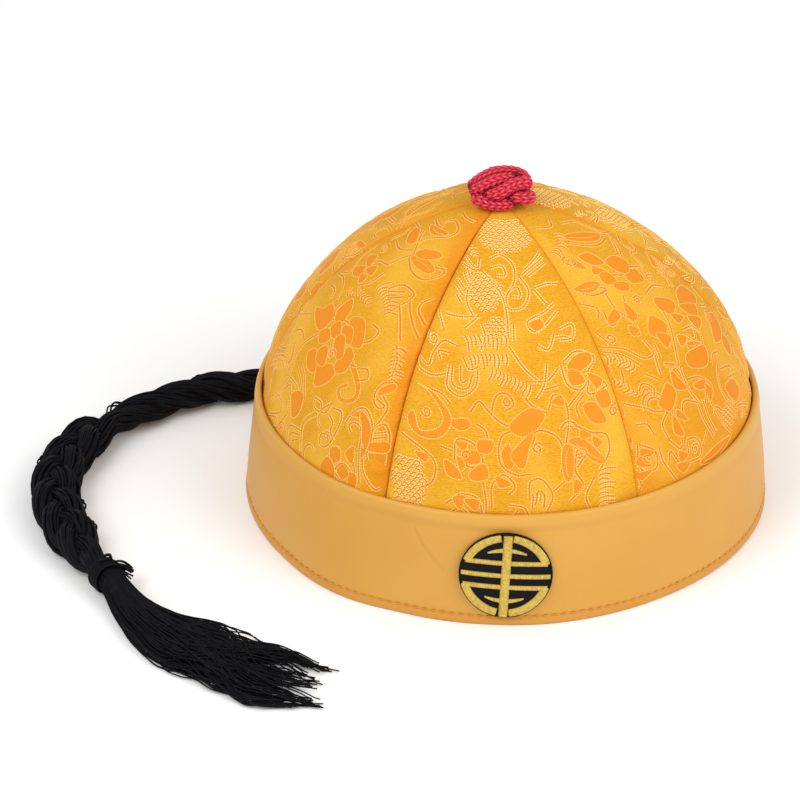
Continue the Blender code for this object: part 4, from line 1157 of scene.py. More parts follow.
def add_gore(number, marks, brocade):
    """One panel of the crown: a dense outer face, a plain lining side, and the cut edge between them.

    Rows climb from inside the band to the apex. Along each row the flat place runs between the two
    seams, less a hair's gap, with s + 0.35 sin(pi s) / pi to set the points closer at the seams.
    """
    tuck = np.linspace(-TUCK_DEPTH, -0.8, TUCK_ROWS)
    run = np.concatenate([tuck, np.linspace(0.0, APEX_RUN, GORE_ROWS)])[:, None]
    share = np.linspace(-1.0, 1.0, GORE_COLUMNS)[None]
    share = share + 0.35 / math.pi * np.sin(math.pi * share)
    across = share * (HALF_GORE * dome_radius(run) - SEAM_GAP)
    run = run + 0.0 * share
    outer, facing, from_edge = gore_face(number, across, run)
    filled = orange_field(across, run, marks)
    outer = outer + (FILL_RISE * np.clip(2.0 * filled - 0.5, 0.0, 1.0))[..., None] * facing
    rows, columns = across.shape
    row_picks = np.unique(np.append(np.arange(0, rows, INNER_STEP), rows - 1))
    column_picks = np.unique(np.append(np.arange(0, columns, INNER_STEP), columns - 1))
    picks = np.ix_(row_picks, column_picks)
    inner = (outer - CROWN_WALL * facing)[picks]
    count = rows * columns
    lining = grid_faces(len(row_picks), len(column_picks), first=count, flip=True)
    faces = [grid_faces(rows, columns), lining]
    faces += cut_edges(rows, columns, row_picks, column_picks, count)
    points = np.vstack([outer.reshape(-1, 3), inner.reshape(-1, 3)])
    cloth = np.stack([across, run + CLOTH_STEP * number], axis=-1)
    cloth = np.vstack([cloth.reshape(-1, 2), cloth[picks].reshape(-1, 2)])
    # painted shade for the brocade: deep orange along each seam's crease, a wide band on the left panel's
    # side of the front-left seam, and more low on the right panel
    beside = np.exp(-from_edge / 1.1) * seam_strength(number, across)
    if number == LEFT_PANEL:
        fold = from_edge / (5.6 + 1.8 * np.sin(run / 7.0))
        beside = beside + 1.1 * (across > 0.0) * np.exp(-fold ** 2)
    if number == RIGHT_PANEL:
        beside = beside + 0.55 * np.clip((60.0 - run) / 45.0, 0.0, 1.0)
    painted_cloth_shade = np.clip(beside, 0.0, 1.0) * np.clip(run / 4.0, 0.0, 1.0)
    plain = np.zeros(inner.size // 3)
    fields = {"filled": np.append(filled.ravel(), plain), "painted_cloth_shade": np.append(painted_cloth_shade.ravel(), plain)}
    solid = (f"crown_gore_{number}",)
    add_piece(f"brocade_panel_{number}", points, faces, brocade, solid, fields, cloth)


def add_gore_threads(number, marks, pattern_thread):
    """The panel's pattern threads as real threads: low three-sided ridges on the cloth.

    The two lower corners of a ring are half a width to each side and a little below the face, and
    the third is on top. Rings join where two neighbours of one thread both show.
    """
    place, run, length, tone, shown = thread_paths(marks)
    point, facing, from_edge = gore_face(number, place[:, 0], place[:, 1])
    shown &= (from_edge > 0.7) & (place[:, 1] > -2.5) & (place[:, 1] < APEX_RUN - 1.0)
    linked = shown[:-1] & shown[1:] & (run[:-1] == run[1:])
    steps = np.diff(point, axis=0)
    step_on = np.vstack([steps, steps[-1:]])
    step_back = np.vstack([steps[:1], steps])
    same_on = np.append(run[:-1] == run[1:], False)[:, None]
    same_back = np.append(False, run[:-1] == run[1:])[:, None]
    ahead = unit(step_on * same_on + step_back * same_back)
    aside = np.cross(facing, ahead)
    half = np.where(tone < 0.0, MIDDLE_HALF, THREAD_HALF)[:, None]
    below = -0.05 * facing
    corners = [-half * aside + below, half * aside + below, THREAD_RISE * facing]
    rings = point[:, None] + np.stack(corners, axis=1)
    here = 3 * np.flatnonzero(linked)[:, None]
    turn = np.arange(3)
    after = (turn + 1) % 3
    quads = np.stack([here + turn, here + 3 + turn, here + 3 + after, here + after], axis=-1).reshape(-1, 4)
    opened = np.append(linked, False) & ~np.append(False, linked)
    ended = np.append(False, linked) & ~np.append(linked, False)
    first_caps = 3 * np.flatnonzero(opened)[:, None] + [0, 1, 2]
    last_caps = 3 * np.flatnonzero(ended)[:, None] + [2, 1, 0]
    caps = np.concatenate([first_caps, last_caps])
    used = np.repeat(np.append(linked, False) | np.append(False, linked), 3)
    renumber = np.cumsum(used) - 1
    fields = {"along": np.repeat(length, 3)[used], "pale": np.repeat(tone, 3)[used]}
    points = rings.reshape(-1, 3)[used]
    faces = [renumber[quads], renumber[caps]]
    add_piece(f"pattern_threads_{number}", points, faces, pattern_thread, (), fields)


def cut_edges(rows, columns, row_picks, column_picks, first):
    """The panel's four cut edges.

    Each coarse step of the lining meets the fine steps of the face in one polygon.
    """
    inner_columns = len(column_picks)
    bands = {}

    def strip(outer_of, inner_of, picks, turned):
        """One edge, from the point numbers on the face and those on the lining."""
        for index in range(len(picks) - 1):
            fine = outer_of(np.arange(picks[index], picks[index + 1] + 1))
            corners = [*fine[::-1], inner_of(index), inner_of(index + 1)]
            if turned:
                corners = corners[::-1]
            bands.setdefault(len(corners), []).append(corners)

    top = (rows - 1) * columns
    inner_top = first + (len(row_picks) - 1) * inner_columns
    right = columns - 1
    inner_right = first + inner_columns - 1
    strip(lambda c: c, lambda k: first + k, column_picks, False)
    strip(lambda c: top + c, lambda k: inner_top + k, column_picks, True)
    strip(lambda r: r * columns, lambda k: first + k * inner_columns, row_picks, True)
    strip(lambda r: r * columns + right, lambda k: inner_right + k * inner_columns, row_picks, False)
    return [np.array(group) for group in bands.values()]


BAND_STATIONS = 960
STITCH_HEIGHT = 3.5
STITCH_PITCH = 3.3


def band_relief(azimuth, height):
    """Sewing's marks on the band's outer face, a sum of bell curves and sines.

    They are the stitched groove and its puckers, a full hem, a soft fold on top, slow dents, and one
    curved crease at the left front.
    """
    run = np.radians(azimuth) * BAND_FOOT
    below = np.clip((STITCH_HEIGHT - height) / STITCH_HEIGHT, 0.0, 1.0)
    groove = -0.38 * np.exp(-((height - STITCH_HEIGHT) / 0.75) ** 2)
    pinch = 0.13 * np.cos(2.0 * math.pi * run / STITCH_PITCH)
    pinch = pinch * np.exp(-((height - STITCH_HEIGHT) / 1.6) ** 2)
    hem = 0.16 * np.sin(math.pi * below) + 0.10 * below * np.sin(run / 7.1 + 2.0 * np.sin(run / 31.0))
    fold = 0.42 * np.exp(-((height - 39.2) / 1.9) ** 2) - 0.22 * np.exp(-((height - 35.8) / 1.2) ** 2)
    fold = fold * (0.75 + 0.25 * np.sin(run / 26.0 + 1.0))
    dents = 0.20 * np.sin(run / 19.0 + height / 14.0) + 0.12 * np.sin(run / 8.3 - height / 9.0 + 1.7)
    dents = dents * np.sin(math.pi * np.clip(height / BAND_HEIGHT, 0.0, 1.0))
    share = np.clip((35.0 - height) / 17.0, 0.0, 1.0)
    crease_at = -111.7 + 8.9 * (0.5 * share + 0.5 * share ** 2.2)
    from_crease = np.radians(around(azimuth, crease_at)) * BAND_FOOT
    held = np.clip((height - 17.0) / 3.0, 0.0, 1.0) * np.clip((36.0 - height) / 3.0, 0.0, 1.0)
    ridge = 0.26 * np.exp(-((from_crease - 0.7) / 0.7) ** 2)
    ditch = 0.30 * np.exp(-((from_crease + 0.2) / 0.6) ** 2)
    return groove + pinch + hem + fold + dents + held * (ridge - ditch)


def band_point(azimuth, height, depth, facing=0.0):
    """A point that far in from the band's outer face. facing is how much of the outer relief it has."""
    radius = band_radius(azimuth, height) - depth + facing * band_relief(azimuth, height)
    return on_circle(azimuth, radius, height + hem_lift(azimuth, height, ARCH_HALF_WIDTH))


def band_outline():
    """The band's closed cross-section, rows of height, depth and share of the outer relief, foot to foot."""
    channel = BAND_WALL + 2.0 * CHANNEL + 1.5
    back = channel + TURN_UP_WALL
    turn = np.radians(np.linspace(0.0, 180.0, 9))
    heights = [np.linspace(0.9, 6.5, 15), np.linspace(7.2, 33.0, 22), np.linspace(33.8, 40.6, 11)]
    heights = np.concatenate(heights)
    foot = np.radians(np.linspace(90.0, 0.0, 5))[:-1]
    inner_foot = np.radians(np.linspace(0.0, 90.0, 5))[1:]
    rows = [(0.9 - 0.9 * math.sin(a), 0.9 - 0.9 * math.cos(a), math.cos(a)) for a in foot]
    rows += [(height, 0.0, 1.0) for height in heights]
    rows += [(41.0 + math.sin(a), 1.0 - math.cos(a), 0.5 + 0.5 * math.cos(a)) for a in turn[:-1]]
    rows += [(height, BAND_WALL, 0.0) for height in np.linspace(40.9, HEM_THICKNESS, 10)]
    rows += [(HEM_THICKNESS, depth, 0.0) for depth in np.linspace(BAND_WALL + 0.8, channel, 3)]
    rows += [(height, channel, 0.0) for height in (4.5, 7.5, 10.3)]
    rows += [(TURN_UP_HEIGHT - 0.2, channel + 0.2, 0.0), (TURN_UP_HEIGHT, channel + 0.65, 0.0)]
    rows += [(TURN_UP_HEIGHT - 0.2, back - 0.2, 0.0)]
    rows += [(height, back, 0.0) for height in (10.0, 7.0, 4.0, 0.9)]
    rows += [(0.9 - 0.9 * math.sin(a), back - 0.9 + 0.9 * math.cos(a), 0.0) for a in inner_foot]
    rows += [(0.0, 0.5 * back, 0.0)]
    return np.array(rows)


def add_band(satin):
    """Sweeps the cross-section round the hem: station by station in azimuth, closed both ways."""
    outline = band_outline()
    size = len(outline)
    azimuth = np.linspace(-180.0, 180.0, BAND_STATIONS, endpoint=False)[:, None]
    height, depth, facing = outline.T
    points = band_point(azimuth, height[None], depth[None], facing[None])
    # painted shade on the outer face in the stitched groove and on the hem below it, and a painted highlight
    # (negative values) on the rolled top fold
    painted_band_shading = 0.85 * np.clip((STITCH_HEIGHT + 0.3 - height) / 0.8, 0.0, 1.0) * (facing > 0.0)
    painted_band_shading = np.where(np.abs(height - STITCH_HEIGHT) < 0.5, 0.9, painted_band_shading) * (facing > 0.0)
    painted_band_shading = painted_band_shading - 0.5 * np.clip((height - 37.0) / 3.0, 0.0, 1.0) * facing
    around_mm = np.radians(azimuth) * BAND_FOOT
    run = np.concatenate([[0.0], np.cumsum(np.hypot(np.diff(height), np.diff(depth)))])
    cloth = np.stack(np.broadcast_arrays(around_mm, run[None]), axis=-1).reshape(-1, 2)
    faces = grid_faces(BAND_STATIONS, size, wrap_columns=True, wrap_rows=True, flip=True)
    attributes = {"painted_band_shading": np.broadcast_to(painted_band_shading, (BAND_STATIONS, size)).copy()}
    add_piece("satin_band", points, [faces], satin, ("band",), attributes, cloth)


def add_topstitching(thread):
    """One short thread per stitch. It rises out of the groove and dips back: lift = 0.34 sin(pi s) - 0.12."""
    many = round(2.0 * math.pi * BAND_FOOT / STITCH_PITCH)
    start = 360.0 * np.arange(many)[:, None] / many
    share = np.linspace(0.0, 1.0, 9)[None]
    azimuth = start + share * 0.80 * 360.0 / many
    height = STITCH_HEIGHT + 0.0 * azimuth + 0.05 * np.sin(start * 9.0)
    lift = 0.34 * np.sin(math.pi * share) - 0.12
    lines = band_point(azimuth, height, -lift, 1.0)
    points, faces = tubes(lines, 0.30 * (0.75 + 0.25 * np.sin(math.pi * share)), 6)
    add_piece("topstitching", points, faces, thread)


BUTTON_CENTRE = np.array([-2.9, -2.9, 124.0])
CORE_CENTRE = BUTTON_CENTRE - [0.0, 0.0, 1.2]
BUTTON_CORE = np.array([9.2, 6.0, 4.6])
CORD_RADIUS = 2.25
BUTTON_STRANDS = {
    "top": (
        (-11.6, -0.9, -0.4), (-8.2, 0.8, 2.0), (-3.6, 2.2, 4.1),
        (1.6, 2.4, 4.9), (6.6, 1.8, 4.0), (9.4, 0.6, 1.0),
    ),
    "shoulder": (
        (-11.4, -1.8, -0.9), (-7.6, -2.6, 1.2), (-3.4, -2.2, 3.1),
        (0.6, -1.0, 3.8), (4.8, 0.2, 3.7),
    ),
    "lobe": (
        (-4.6, -3.2, -0.4), (-3.4, -5.9, -0.2), (-0.2, -6.6, 1.5),
        (3.8, -5.0, 3.4), (7.6, -3.4, 3.6), (10.0, -1.2, 1.4),
    ),
    "lower_loop": (
        (-9.0, -1.4, -1.9), (-8.2, -5.0, -2.2), (-4.4, -7.0, -2.6),
        (0.6, -7.2, -2.8), (4.4, -6.6, -2.7),
    ),
    "side_lobe": ((2.6, -5.6, -0.9), (6.0, -6.7, -0.9), (9.4, -5.2, -1.4), (9.9, -1.6, -2.2)),
    "back_lobe": ((5.6, 4.6, -1.2), (3.2, 7.0, 0.7), (-0.8, 7.0, 2.1), (-5.2, 5.0, 3.0)),
    "back_loop": ((9.2, 1.4, -1.6), (6.8, 5.8, -2.2), (2.4, 7.6, -2.8), (-3.2, 7.4, -2.8)),
    "back_side": ((-1.8, 6.4, -0.6), (-5.8, 6.8, -0.6), (-9.2, 4.2, -1.2), (-9.4, 0.2, -1.8)),
}
CREASE_SHADE_WIDTH = 1.3
KNIT_WALES = 5
KNIT_PITCH = 2.1
CORD_SIDES = 50


def knit_height(run, angle):
    """Height of V-shaped stitches, 0 to 1.

    In each lengthwise column two legs slant up and out from the middle.
    """
    wale = KNIT_WALES * angle / (2.0 * math.pi)
    across = np.abs(2.0 * (wale - np.floor(wale)) - 1.0)
    leg = np.clip(np.sin(math.pi * np.clip(across, 0.0, 1.0)), 0.0, 1.0) ** 0.6
    shift = 0.5 * (np.floor(wale) % 2)
    beat = 0.5 + 0.5 * np.cos(2.0 * math.pi * (run / KNIT_PITCH - 0.85 * across + shift))
    return leg * beat ** 0.7


def knitted_strand(points):
    """A round cord through the points with the stitches raised on it, rounded at both ends."""
    line, run = smooth_line(points, step=0.20)
    _, side, up = (axis[0] for axis in line_frames(line[None]))
    angle = np.linspace(0.0, 2.0 * math.pi, CORD_SIDES, endpoint=False)[None]
    crown = knit_height(run[:, None], angle)
    near_end = np.minimum(run, run[-1] - run)[:, None]
    closing = np.sqrt(np.clip(1.0 - (1.0 - np.minimum(near_end / 2.6, 1.0)) ** 2, 0.0, 1.0))
    radius = (CORD_RADIUS + 0.40 * (crown - 0.45)) * np.maximum(closing, 0.06)
    spokes = np.cos(angle)[..., None] * side[:, None] + np.sin(angle)[..., None] * up[:, None]
    rings = line[:, None] + radius[..., None] * spokes
    points = np.vstack([rings.reshape(-1, 3), line[:1], line[-1:]])
    faces = [grid_faces(len(line), CORD_SIDES, wrap_columns=True), end_fans(len(line), CORD_SIDES)]
    return points, faces, np.append(crown.ravel(), [0.2, 0.2])


def add_button(cord):
    """The knot: eight visible runs of one knitted cord over a dark knitted core."""
    parts, crowns = [], []
    middles = {
        name: smooth_line(BUTTON_CENTRE + np.array(points), step=1.0)[0]
        for name, points in BUTTON_STRANDS.items()
    }
    for name, points in BUTTON_STRANDS.items():
        made, faces, crown = knitted_strand(BUTTON_CENTRE + np.array(points))
        others = np.concatenate([line for other, line in middles.items() if other != name])
        # painted shade: the stitches turn towards the dark colour where this strand lies against another
        # strand
        gap = np.linalg.norm(made[:, None] - others[None], axis=-1).min(1) - CORD_RADIUS
        parts.append((made, faces))
        crowns.append(crown * (0.12 + 0.88 * np.clip(gap / CREASE_SHADE_WIDTH, 0.0, 1.0)))
    rows, columns = 40, 72
    latitude = np.linspace(0.03, math.pi - 0.03, rows)[:, None]
    longitude = np.linspace(0.0, 2.0 * math.pi, columns, endpoint=False)[None]
    east, north = np.sin(latitude) * np.cos(longitude), np.sin(latitude) * np.sin(longitude)
    ball = np.stack(np.broadcast_arrays(east, north, -np.cos(latitude)), axis=-1)
    crown = knit_height(9.0 * latitude, longitude * 3.0)
    core = CORE_CENTRE + ball * (BUTTON_CORE + 0.3 * crown[..., None])
    core_faces = [grid_faces(rows, columns, wrap_columns=True), end_fans(rows, columns)]
    ends = CORE_CENTRE + np.array([[0.0, 0.0, -BUTTON_CORE[2]], [0.0, 0.0, BUTTON_CORE[2]]])
    parts.append((np.vstack([core.reshape(-1, 3), ends]), core_faces))
    # the core is kept darker: painted shade inside the knot
    crowns.append(0.35 * np.append(crown.ravel(), [0.0, 0.0]))
    points, faces = stacked(parts)
    crown = {"crown": np.concatenate(crowns)}
    add_piece("knotted_cord_button", points, faces, cord, ("crown_button",), crown)


BADGE_RADIUS = 16.2
BADGE_HEIGHT = 20.2
BADGE_AZIMUTH = -91.3
BADGE_TURN = -3.0
BADGE_TOP = 1.4
BADGE_SLOPE = math.atan2(BAND_FOOT - BAND_TOP, BAND_HEIGHT)
FIGURE_THREAD = 0.52
# The badge's back, its flat middle out to this radius, and the middle of its overcast rim
BADGE_BACK = 0.12
FLAT_RADIUS = 15.2
RIM_RADIUS = 15.85
RIM_STITCHES = 130.0


def on_badge(across, up, lift):
    """The place on the band of a point of the flat badge, that far off the band's face."""
    turn = math.radians(BADGE_TURN)
    right = across * math.cos(turn) - up * math.sin(turn)
    rise = across * math.sin(turn) + up * math.cos(turn)
    height = BADGE_HEIGHT + rise * math.cos(BADGE_SLOPE)
    azimuth = BADGE_AZIMUTH + np.degrees(right / band_radius(BADGE_AZIMUTH + 0.0 * height, height))
    radius = band_radius(azimuth, height) + lift * math.cos(BADGE_SLOPE)
    return on_circle(azimuth, radius, height + lift * math.sin(BADGE_SLOPE))


def add_badge_ground(cloth):
    """A disc in rings: a flat middle of close stitch rows, and a rounded rim wound over with stitches."""
    sides = 260
    rim_radius, rim_lift = np.linspace(15.35, 16.1, 9), np.linspace(BADGE_TOP + 0.1, BADGE_TOP + 0.05, 9)
    radius = np.concatenate([np.linspace(0.25, FLAT_RADIUS, 46), rim_radius, [16.2, 16.15, 15.9, 8.0]])
    lift = np.concatenate([np.full(46, BADGE_TOP), rim_lift, [1.05, 0.5, 0.15, BADGE_BACK]])
    angle = np.linspace(0.0, 2.0 * math.pi, sides, endpoint=False)[None]
    ring = radius[:, None]
    across, up = ring * np.cos(angle), ring * np.sin(angle)
    rim = np.clip(1.0 - np.abs(ring - RIM_RADIUS) / 0.45, 0.0, 1.0) * (lift[:, None] > 0.6)
    stitch = 0.5 + 0.5 * np.cos(angle * RIM_STITCHES)
    rows = np.sin(2.0 * math.pi * (0.5 * across + 0.86 * up) / 0.9)
    rows = rows * np.sin(2.0 * math.pi * (across - 0.4 * up) / 3.4)
    woven = np.where(ring < FLAT_RADIUS, 0.05 * rows, 0.0) * (lift[:, None] > 1.0)
    high = lift[:, None] + rim ** 0.6 * (0.28 + 0.16 * stitch) + woven
    points = on_badge(across, up, high).reshape(-1, 3)
    middles = on_badge(np.zeros(2), np.zeros(2), np.array([BADGE_TOP, BADGE_BACK]))
    flat = np.vstack([np.stack([across, up], axis=-1).reshape(-1, 2), np.zeros((2, 2))])
    faces = [grid_faces(len(radius), sides, wrap_columns=True, flip=True)]
    faces.append(end_fans(len(radius), sides, flip=True))
    points = np.vstack([points, middles])
    add_piece("badge_disc", points, faces, cloth, ("badge_ground",), None, flat)


def sewn_bar(middle, half, height, slant=0.25, phase=0.0):
    """A padded run of satin stitch along a flat line.

    Across it is a pillow, (1 - x^2)^0.45, and along it there is a ripple for each thread.
    """
    line, run = smooth_line(middle, step=0.13)
    half = np.interp(run / run[-1], np.linspace(0.0, 1.0, len(half)), half)
    aside = left_of(line)
    across = np.linspace(-1.0, 1.0, 15)[None]
    ripple = 0.5 + 0.5 * np.cos(2.0 * math.pi * (run[:, None] / FIGURE_THREAD + slant * across + phase))
    ragged = 0.10 * np.cos(2.0 * math.pi * run / FIGURE_THREAD + phase) * np.cos(run * 2.3 + phase)
    wide = (half + ragged)[:, None] * across
    flat = line[:, None] + wide[..., None] * aside[:, None]
    ending = np.clip(np.minimum(run, run[-1] - run) / 0.5, 0.0, 1.0)[:, None] ** 0.5
    pillow = np.clip(1.0 - across ** 2, 0.0, 1.0) ** 0.45 * ending
    lift = BADGE_TOP - 0.05 + height * (0.12 + 0.88 * pillow) + 0.13 * ripple * (0.3 + 0.7 * pillow)
    top = on_badge(flat[..., 0], flat[..., 1], lift)
    sides = flat[:, [-1, 0]]
    under = on_badge(sides[..., 0], sides[..., 1], np.full(sides.shape[:2], BADGE_TOP - 0.15))
    rings = np.concatenate([top, under], axis=1)
    rows, columns = rings.shape[:2]
    # this field drives the gold's painted highlight and shade: high on each thread's ridge and the pillow's
    # middle, low at its edges and underneath
    crown = np.concatenate([ripple * (0.35 + 0.65 * pillow), np.zeros((rows, 2))], axis=1)
    points = np.vstack([rings.reshape(-1, 3), rings[:1].mean(1), rings[-1:].mean(1)])
    faces = [grid_faces(rows, columns, wrap_columns=True, flip=True), end_fans(rows, columns, flip=True)]
    return (points, faces), np.append(crown.ravel(), [0.3, 0.3])


def ring_line(start, end, radius):
    """Part of a flat circle, from one angle in degrees to another."""
    angle = np.radians(np.linspace(start, end, 14))
    return radius * np.column_stack([np.cos(angle), np.sin(angle)])


def add_badge_figure(gold):
    """The round longevity sign: cross bars, broken ring and crescents, then the upright bar over them."""
    size = BADGE_RADIUS
    made = []
    for up, reach in ((0.30, 0.88), (0.0, 0.955), (-0.27, 0.90)):
        line = size * np.array([[-reach, up], [-0.3, up], [0.3, up], [reach, up]])
        made.append(sewn_bar(line, [0.054 * size] * 2, 0.62, phase=up * 7.0))
    for start, end in ((18.5, 83.0), (99.0, 161.5), (196.0, 261.0), (277.0, 344.0)):
        ring = ring_line(start, end, 0.893 * size)
        made.append(sewn_bar(ring, [0.090 * size, 0.100 * size, 0.090 * size], 0.66, phase=start))
    along = np.linspace(-1.0, 1.0, 9)
    for side in (1.0, -1.0):
        line = size * np.column_stack([0.42 * along, side * (0.60 - 0.08 * along ** 2)])
        made.append(sewn_bar(line, 0.5 * size * 0.105 * (1.0 - 0.70 * along ** 2), 0.55, phase=side))
    upright = size * np.array([[0.0, -0.985], [0.0, -0.3], [0.0, 0.3], [0.0, 0.95]])
    made.append(sewn_bar(upright, [0.098 * size] * 2, 1.05, slant=0.5))
    points, faces = stacked([part for part, _ in made])
    crown = np.concatenate([crown for _, crown in made])
    add_piece("badge_embroidery", points, faces, gold, ("badge_figure",), {"crown": crown})


HANK_RADIUS = 6.2
PLAIT_RADIUS = 8.8
NECK_RADIUS = 4.9
REST_HEIGHT = 6.2
QUEUE_ROUTE = (
    (0.0, 104.0), (-2.5, 112.0), (-11.0, 121.0), (-24.0, 124.5), (-37.0, 119.0), (-48.0, 108.5),
    (-57.5, 96.0), (-66.0, 84.0), (-75.0, 73.5), (-85.0, 65.5), (-97.0, 61.5), (-109.0, 59.5),
    (-119.5, 54.5), (-130.0, 47.5), (-140.5, 38.5), (-150.0, 28.0), (-157.5, 15.0), (-162.3, 1.0),
    (-164.0, -13.0), (-162.5, -27.0), (-158.5, -41.0), (-152.8, -54.5), (-146.3, -66.0), (-141.0, -74.0),
)
TASSEL_ROUTE = (
    (-141.0, -74.0), (-134.8, -84.2), (-128.5, -94.3), (-121.1, -103.0), (-113.1, -110.8),
    (-104.9, -118.0), (-96.1, -124.6), (-87.4, -130.4), (-78.7, -135.0), (-70.0, -138.4), (-58.0, -141.0),
)


UPWARD = np.array([0.0, 0.0, 1.0])
QUEUE_STEP = 2.1


def eased(share):
    """Smooth step from 0 to 1: 3 s^2 - 2 s^3."""
    share = np.clip(share, 0.0, 1.0)
    return share * share * (3.0 - 2.0 * share)


def queue_middle():
    """The queue's middle line at rest on the surface, its run, and how far it has become plait and neck."""
    route, run = smooth_line(QUEUE_ROUTE, step=QUEUE_STEP)
    plait = eased((run - 178.0) / 34.0)
    neck = eased((run - (run[-1] - 34.0)) / 28.0)
    radius = HANK_RADIUS + (PLAIT_RADIUS - HANK_RADIUS) * plait
    radius = radius + (NECK_RADIUS - radius) * neck
    height = np.maximum(REST_HEIGHT, 0.82 * radius)
    return np.column_stack([route, height]), run, plait, neck


def strand_middles(middle, run, plait, neck):
    """Middle lines of the three strands: twisted together in the hank, then plaited.

    In the hank a strand winds on a circle. In the plait it weaves: across = A sin t, up = B sin 2t.
    """
    ahead = unit(np.gradient(middle, axis=0) * [1.0, 1.0, 0.0])
    aside = np.column_stack([-ahead[:, 1], ahead[:, 0], 0.0 * run])
    lines = []
    for strand in range(3):
        wind = 2.0 * math.pi * (run / 62.0 + strand / 3.0) + 0.8 * np.sin(run / 23.0)
        weave = 2.0 * math.pi * ((run - 190.0) / 47.0 + strand / 3.0)
        wide = 4.7 * (1.0 - 0.62 * neck)
        deep = 2.7 * (1.0 - 0.45 * neck)
        across = (1.0 - plait) * 2.9 * np.cos(wind) + plait * wide * np.sin(weave)
        rise = (1.0 - plait) * 2.4 * np.sin(wind) + plait * deep * np.sin(2.0 * weave)
        lines.append(middle + across[:, None] * aside + rise[:, None] * UPWARD)
    return np.stack(lines)


def yarn_bundle(line, radius, many, twist, ragged, phase):
    """Yarns that wind round one strand's middle line, each wandering a little off its circle."""
    stations = len(line)
    _, side, up = (axis[0] for axis in line_frames(line[None]))
    run = run_along(line)
    spans = max(3, int(run[-1] / 14.0))
    out = radius * (0.93 + smooth_noise(many, stations, spans, ragged))
    angle = 2.0 * math.pi * (np.arange(many)[:, None] / many + run[None] / twist) + phase
    angle = angle + smooth_noise(many, stations, spans, 0.22)
    return line + (out * np.cos(angle))[..., None] * side + (out * np.sin(angle))[..., None] * up


def settle(lines, least):
    """Rests yarns on the surface: heights below their own radius are pressed up to it."""
    lines[..., 2] = np.maximum(lines[..., 2], least)
    return lines


def add_queue(yarn):
    """Three strands, each of 30 thin yarns round 9 thicker ones. Returns the middle line and its run too."""
    middle, run, plait, neck = queue_middle()
    strands = strand_middles(middle, run, plait, neck)
    radius = 3.15 + 1.05 * plait - 1.75 * neck
    parts = []
    for number, strand in enumerate(strands):
        lumps = 1.0 + 0.07 * np.sin(run / 9.0 + 2.0 * number) * plait + 0.05 * np.sin(run / 5.5 + number)
        yarns = yarn_bundle(strand, radius * lumps, 30, 95.0 if number % 2 else 130.0, 0.055, 1.3 * number)
        parts.append(tubes(settle(yarns, 0.5), 0.50, 5))
        inner = yarn_bundle(strand, 0.62 * radius * lumps, 9, 110.0, 0.05, number)
        parts.append(tubes(settle(inner, 0.9), 0.95, 5))
    points, faces = stacked(parts)
    queue = add_piece("queue_of_yarn", points, faces, yarn, ("queue_cord",))
    return queue, middle, run


def add_queue_root(yarn):
    """The stitched flat end inside the hem: yarns side by side that gather into the round hank."""
    along = np.linspace(0.0, 1.0, 16)[None]
    many = 84
    spin = 2.399963 * np.arange(many)[:, None]
    out = np.sqrt((np.arange(many)[:, None] + 0.5) / many)
    gathered = eased((76.0 + 29.0 * along - 95.0) / 9.0)
    half_width = 9.5 * (1.0 - gathered) + (HANK_RADIUS - 0.8) * gathered
    half_height = 1.9 * (1.0 - gathered) + (HANK_RADIUS - 0.8) * gathered
    across = half_width * out * np.cos(spin) + smooth_noise(many, 16, 4, 0.25)
    height = (half_height + 0.5) + half_height * out * np.sin(spin)
    place = 76.0 + 29.0 * along - 0.25 * across * gathered
    lines = np.stack(np.broadcast_arrays(across, place, height), axis=-1)
    parts = [tubes(settle(lines.copy(), 0.5), 0.52, 5)]
    rows = []
    share = np.linspace(-1.0, 1.0, 40)
    for place in (80.0, 86.0):
        stitch = [9.6 * share, place + 0.5 * np.sin(share * 30.0), 4.6 + 0.25 * np.cos(share * 40.0)]
        rows.append(np.column_stack(stitch))
    parts.append(tubes(np.stack(rows), 0.35, 6))
    points, faces = stacked(parts)
    return add_piece("queue_stitched_end", points, faces, yarn, ("queue_root",))


def neck_frame():
    """The point where the plait ends, and the directions ahead and aside there."""
    middle, _, _, _ = queue_middle()
    ahead = unit((middle[-1] - middle[-4]) * [1.0, 1.0, 0.0])
    return middle[-1], ahead, np.array([-ahead[1], ahead[0], 0.0])


def add_queue_tie(yarn):
    """Thread wound round the neck in close turns, a helix of 5.35 mm radius, with a knot on it."""
    end, ahead, aside = neck_frame()
    turn = np.linspace(0.0, 1.0, 150)
    angle = 2.0 * math.pi * 4.6 * turn
    round_neck = np.cos(angle)[:, None] * aside + np.sin(angle)[:, None] * UPWARD
    size = 5.35 + 0.22 * np.sin(3.0 * angle + 1.0) * np.sin(2.2 * turn)
    line = end + (5.2 * (turn - 1.0))[:, None] * ahead + size[:, None] * round_neck
    second = line + 0.45 * ahead + 0.25 * round_neck
    parts = [tubes(settle(np.stack([line, second]), 0.6), 0.52, 6)]
    share = np.linspace(0.0, 1.0, 40)
    loops = [np.cos(9.0 * share), np.sin(11.0 * share), np.sin(7.0 * share + 1.0)]
    knot = end - 2.6 * ahead + 2.2 * np.column_stack(loops)
    parts.append(tubes((knot + [0.0, 0.0, 5.0])[None], 0.6, 6))
    points, faces = stacked(parts)
    return add_piece("queue_binding", points, faces, yarn, ("queue_tie",))


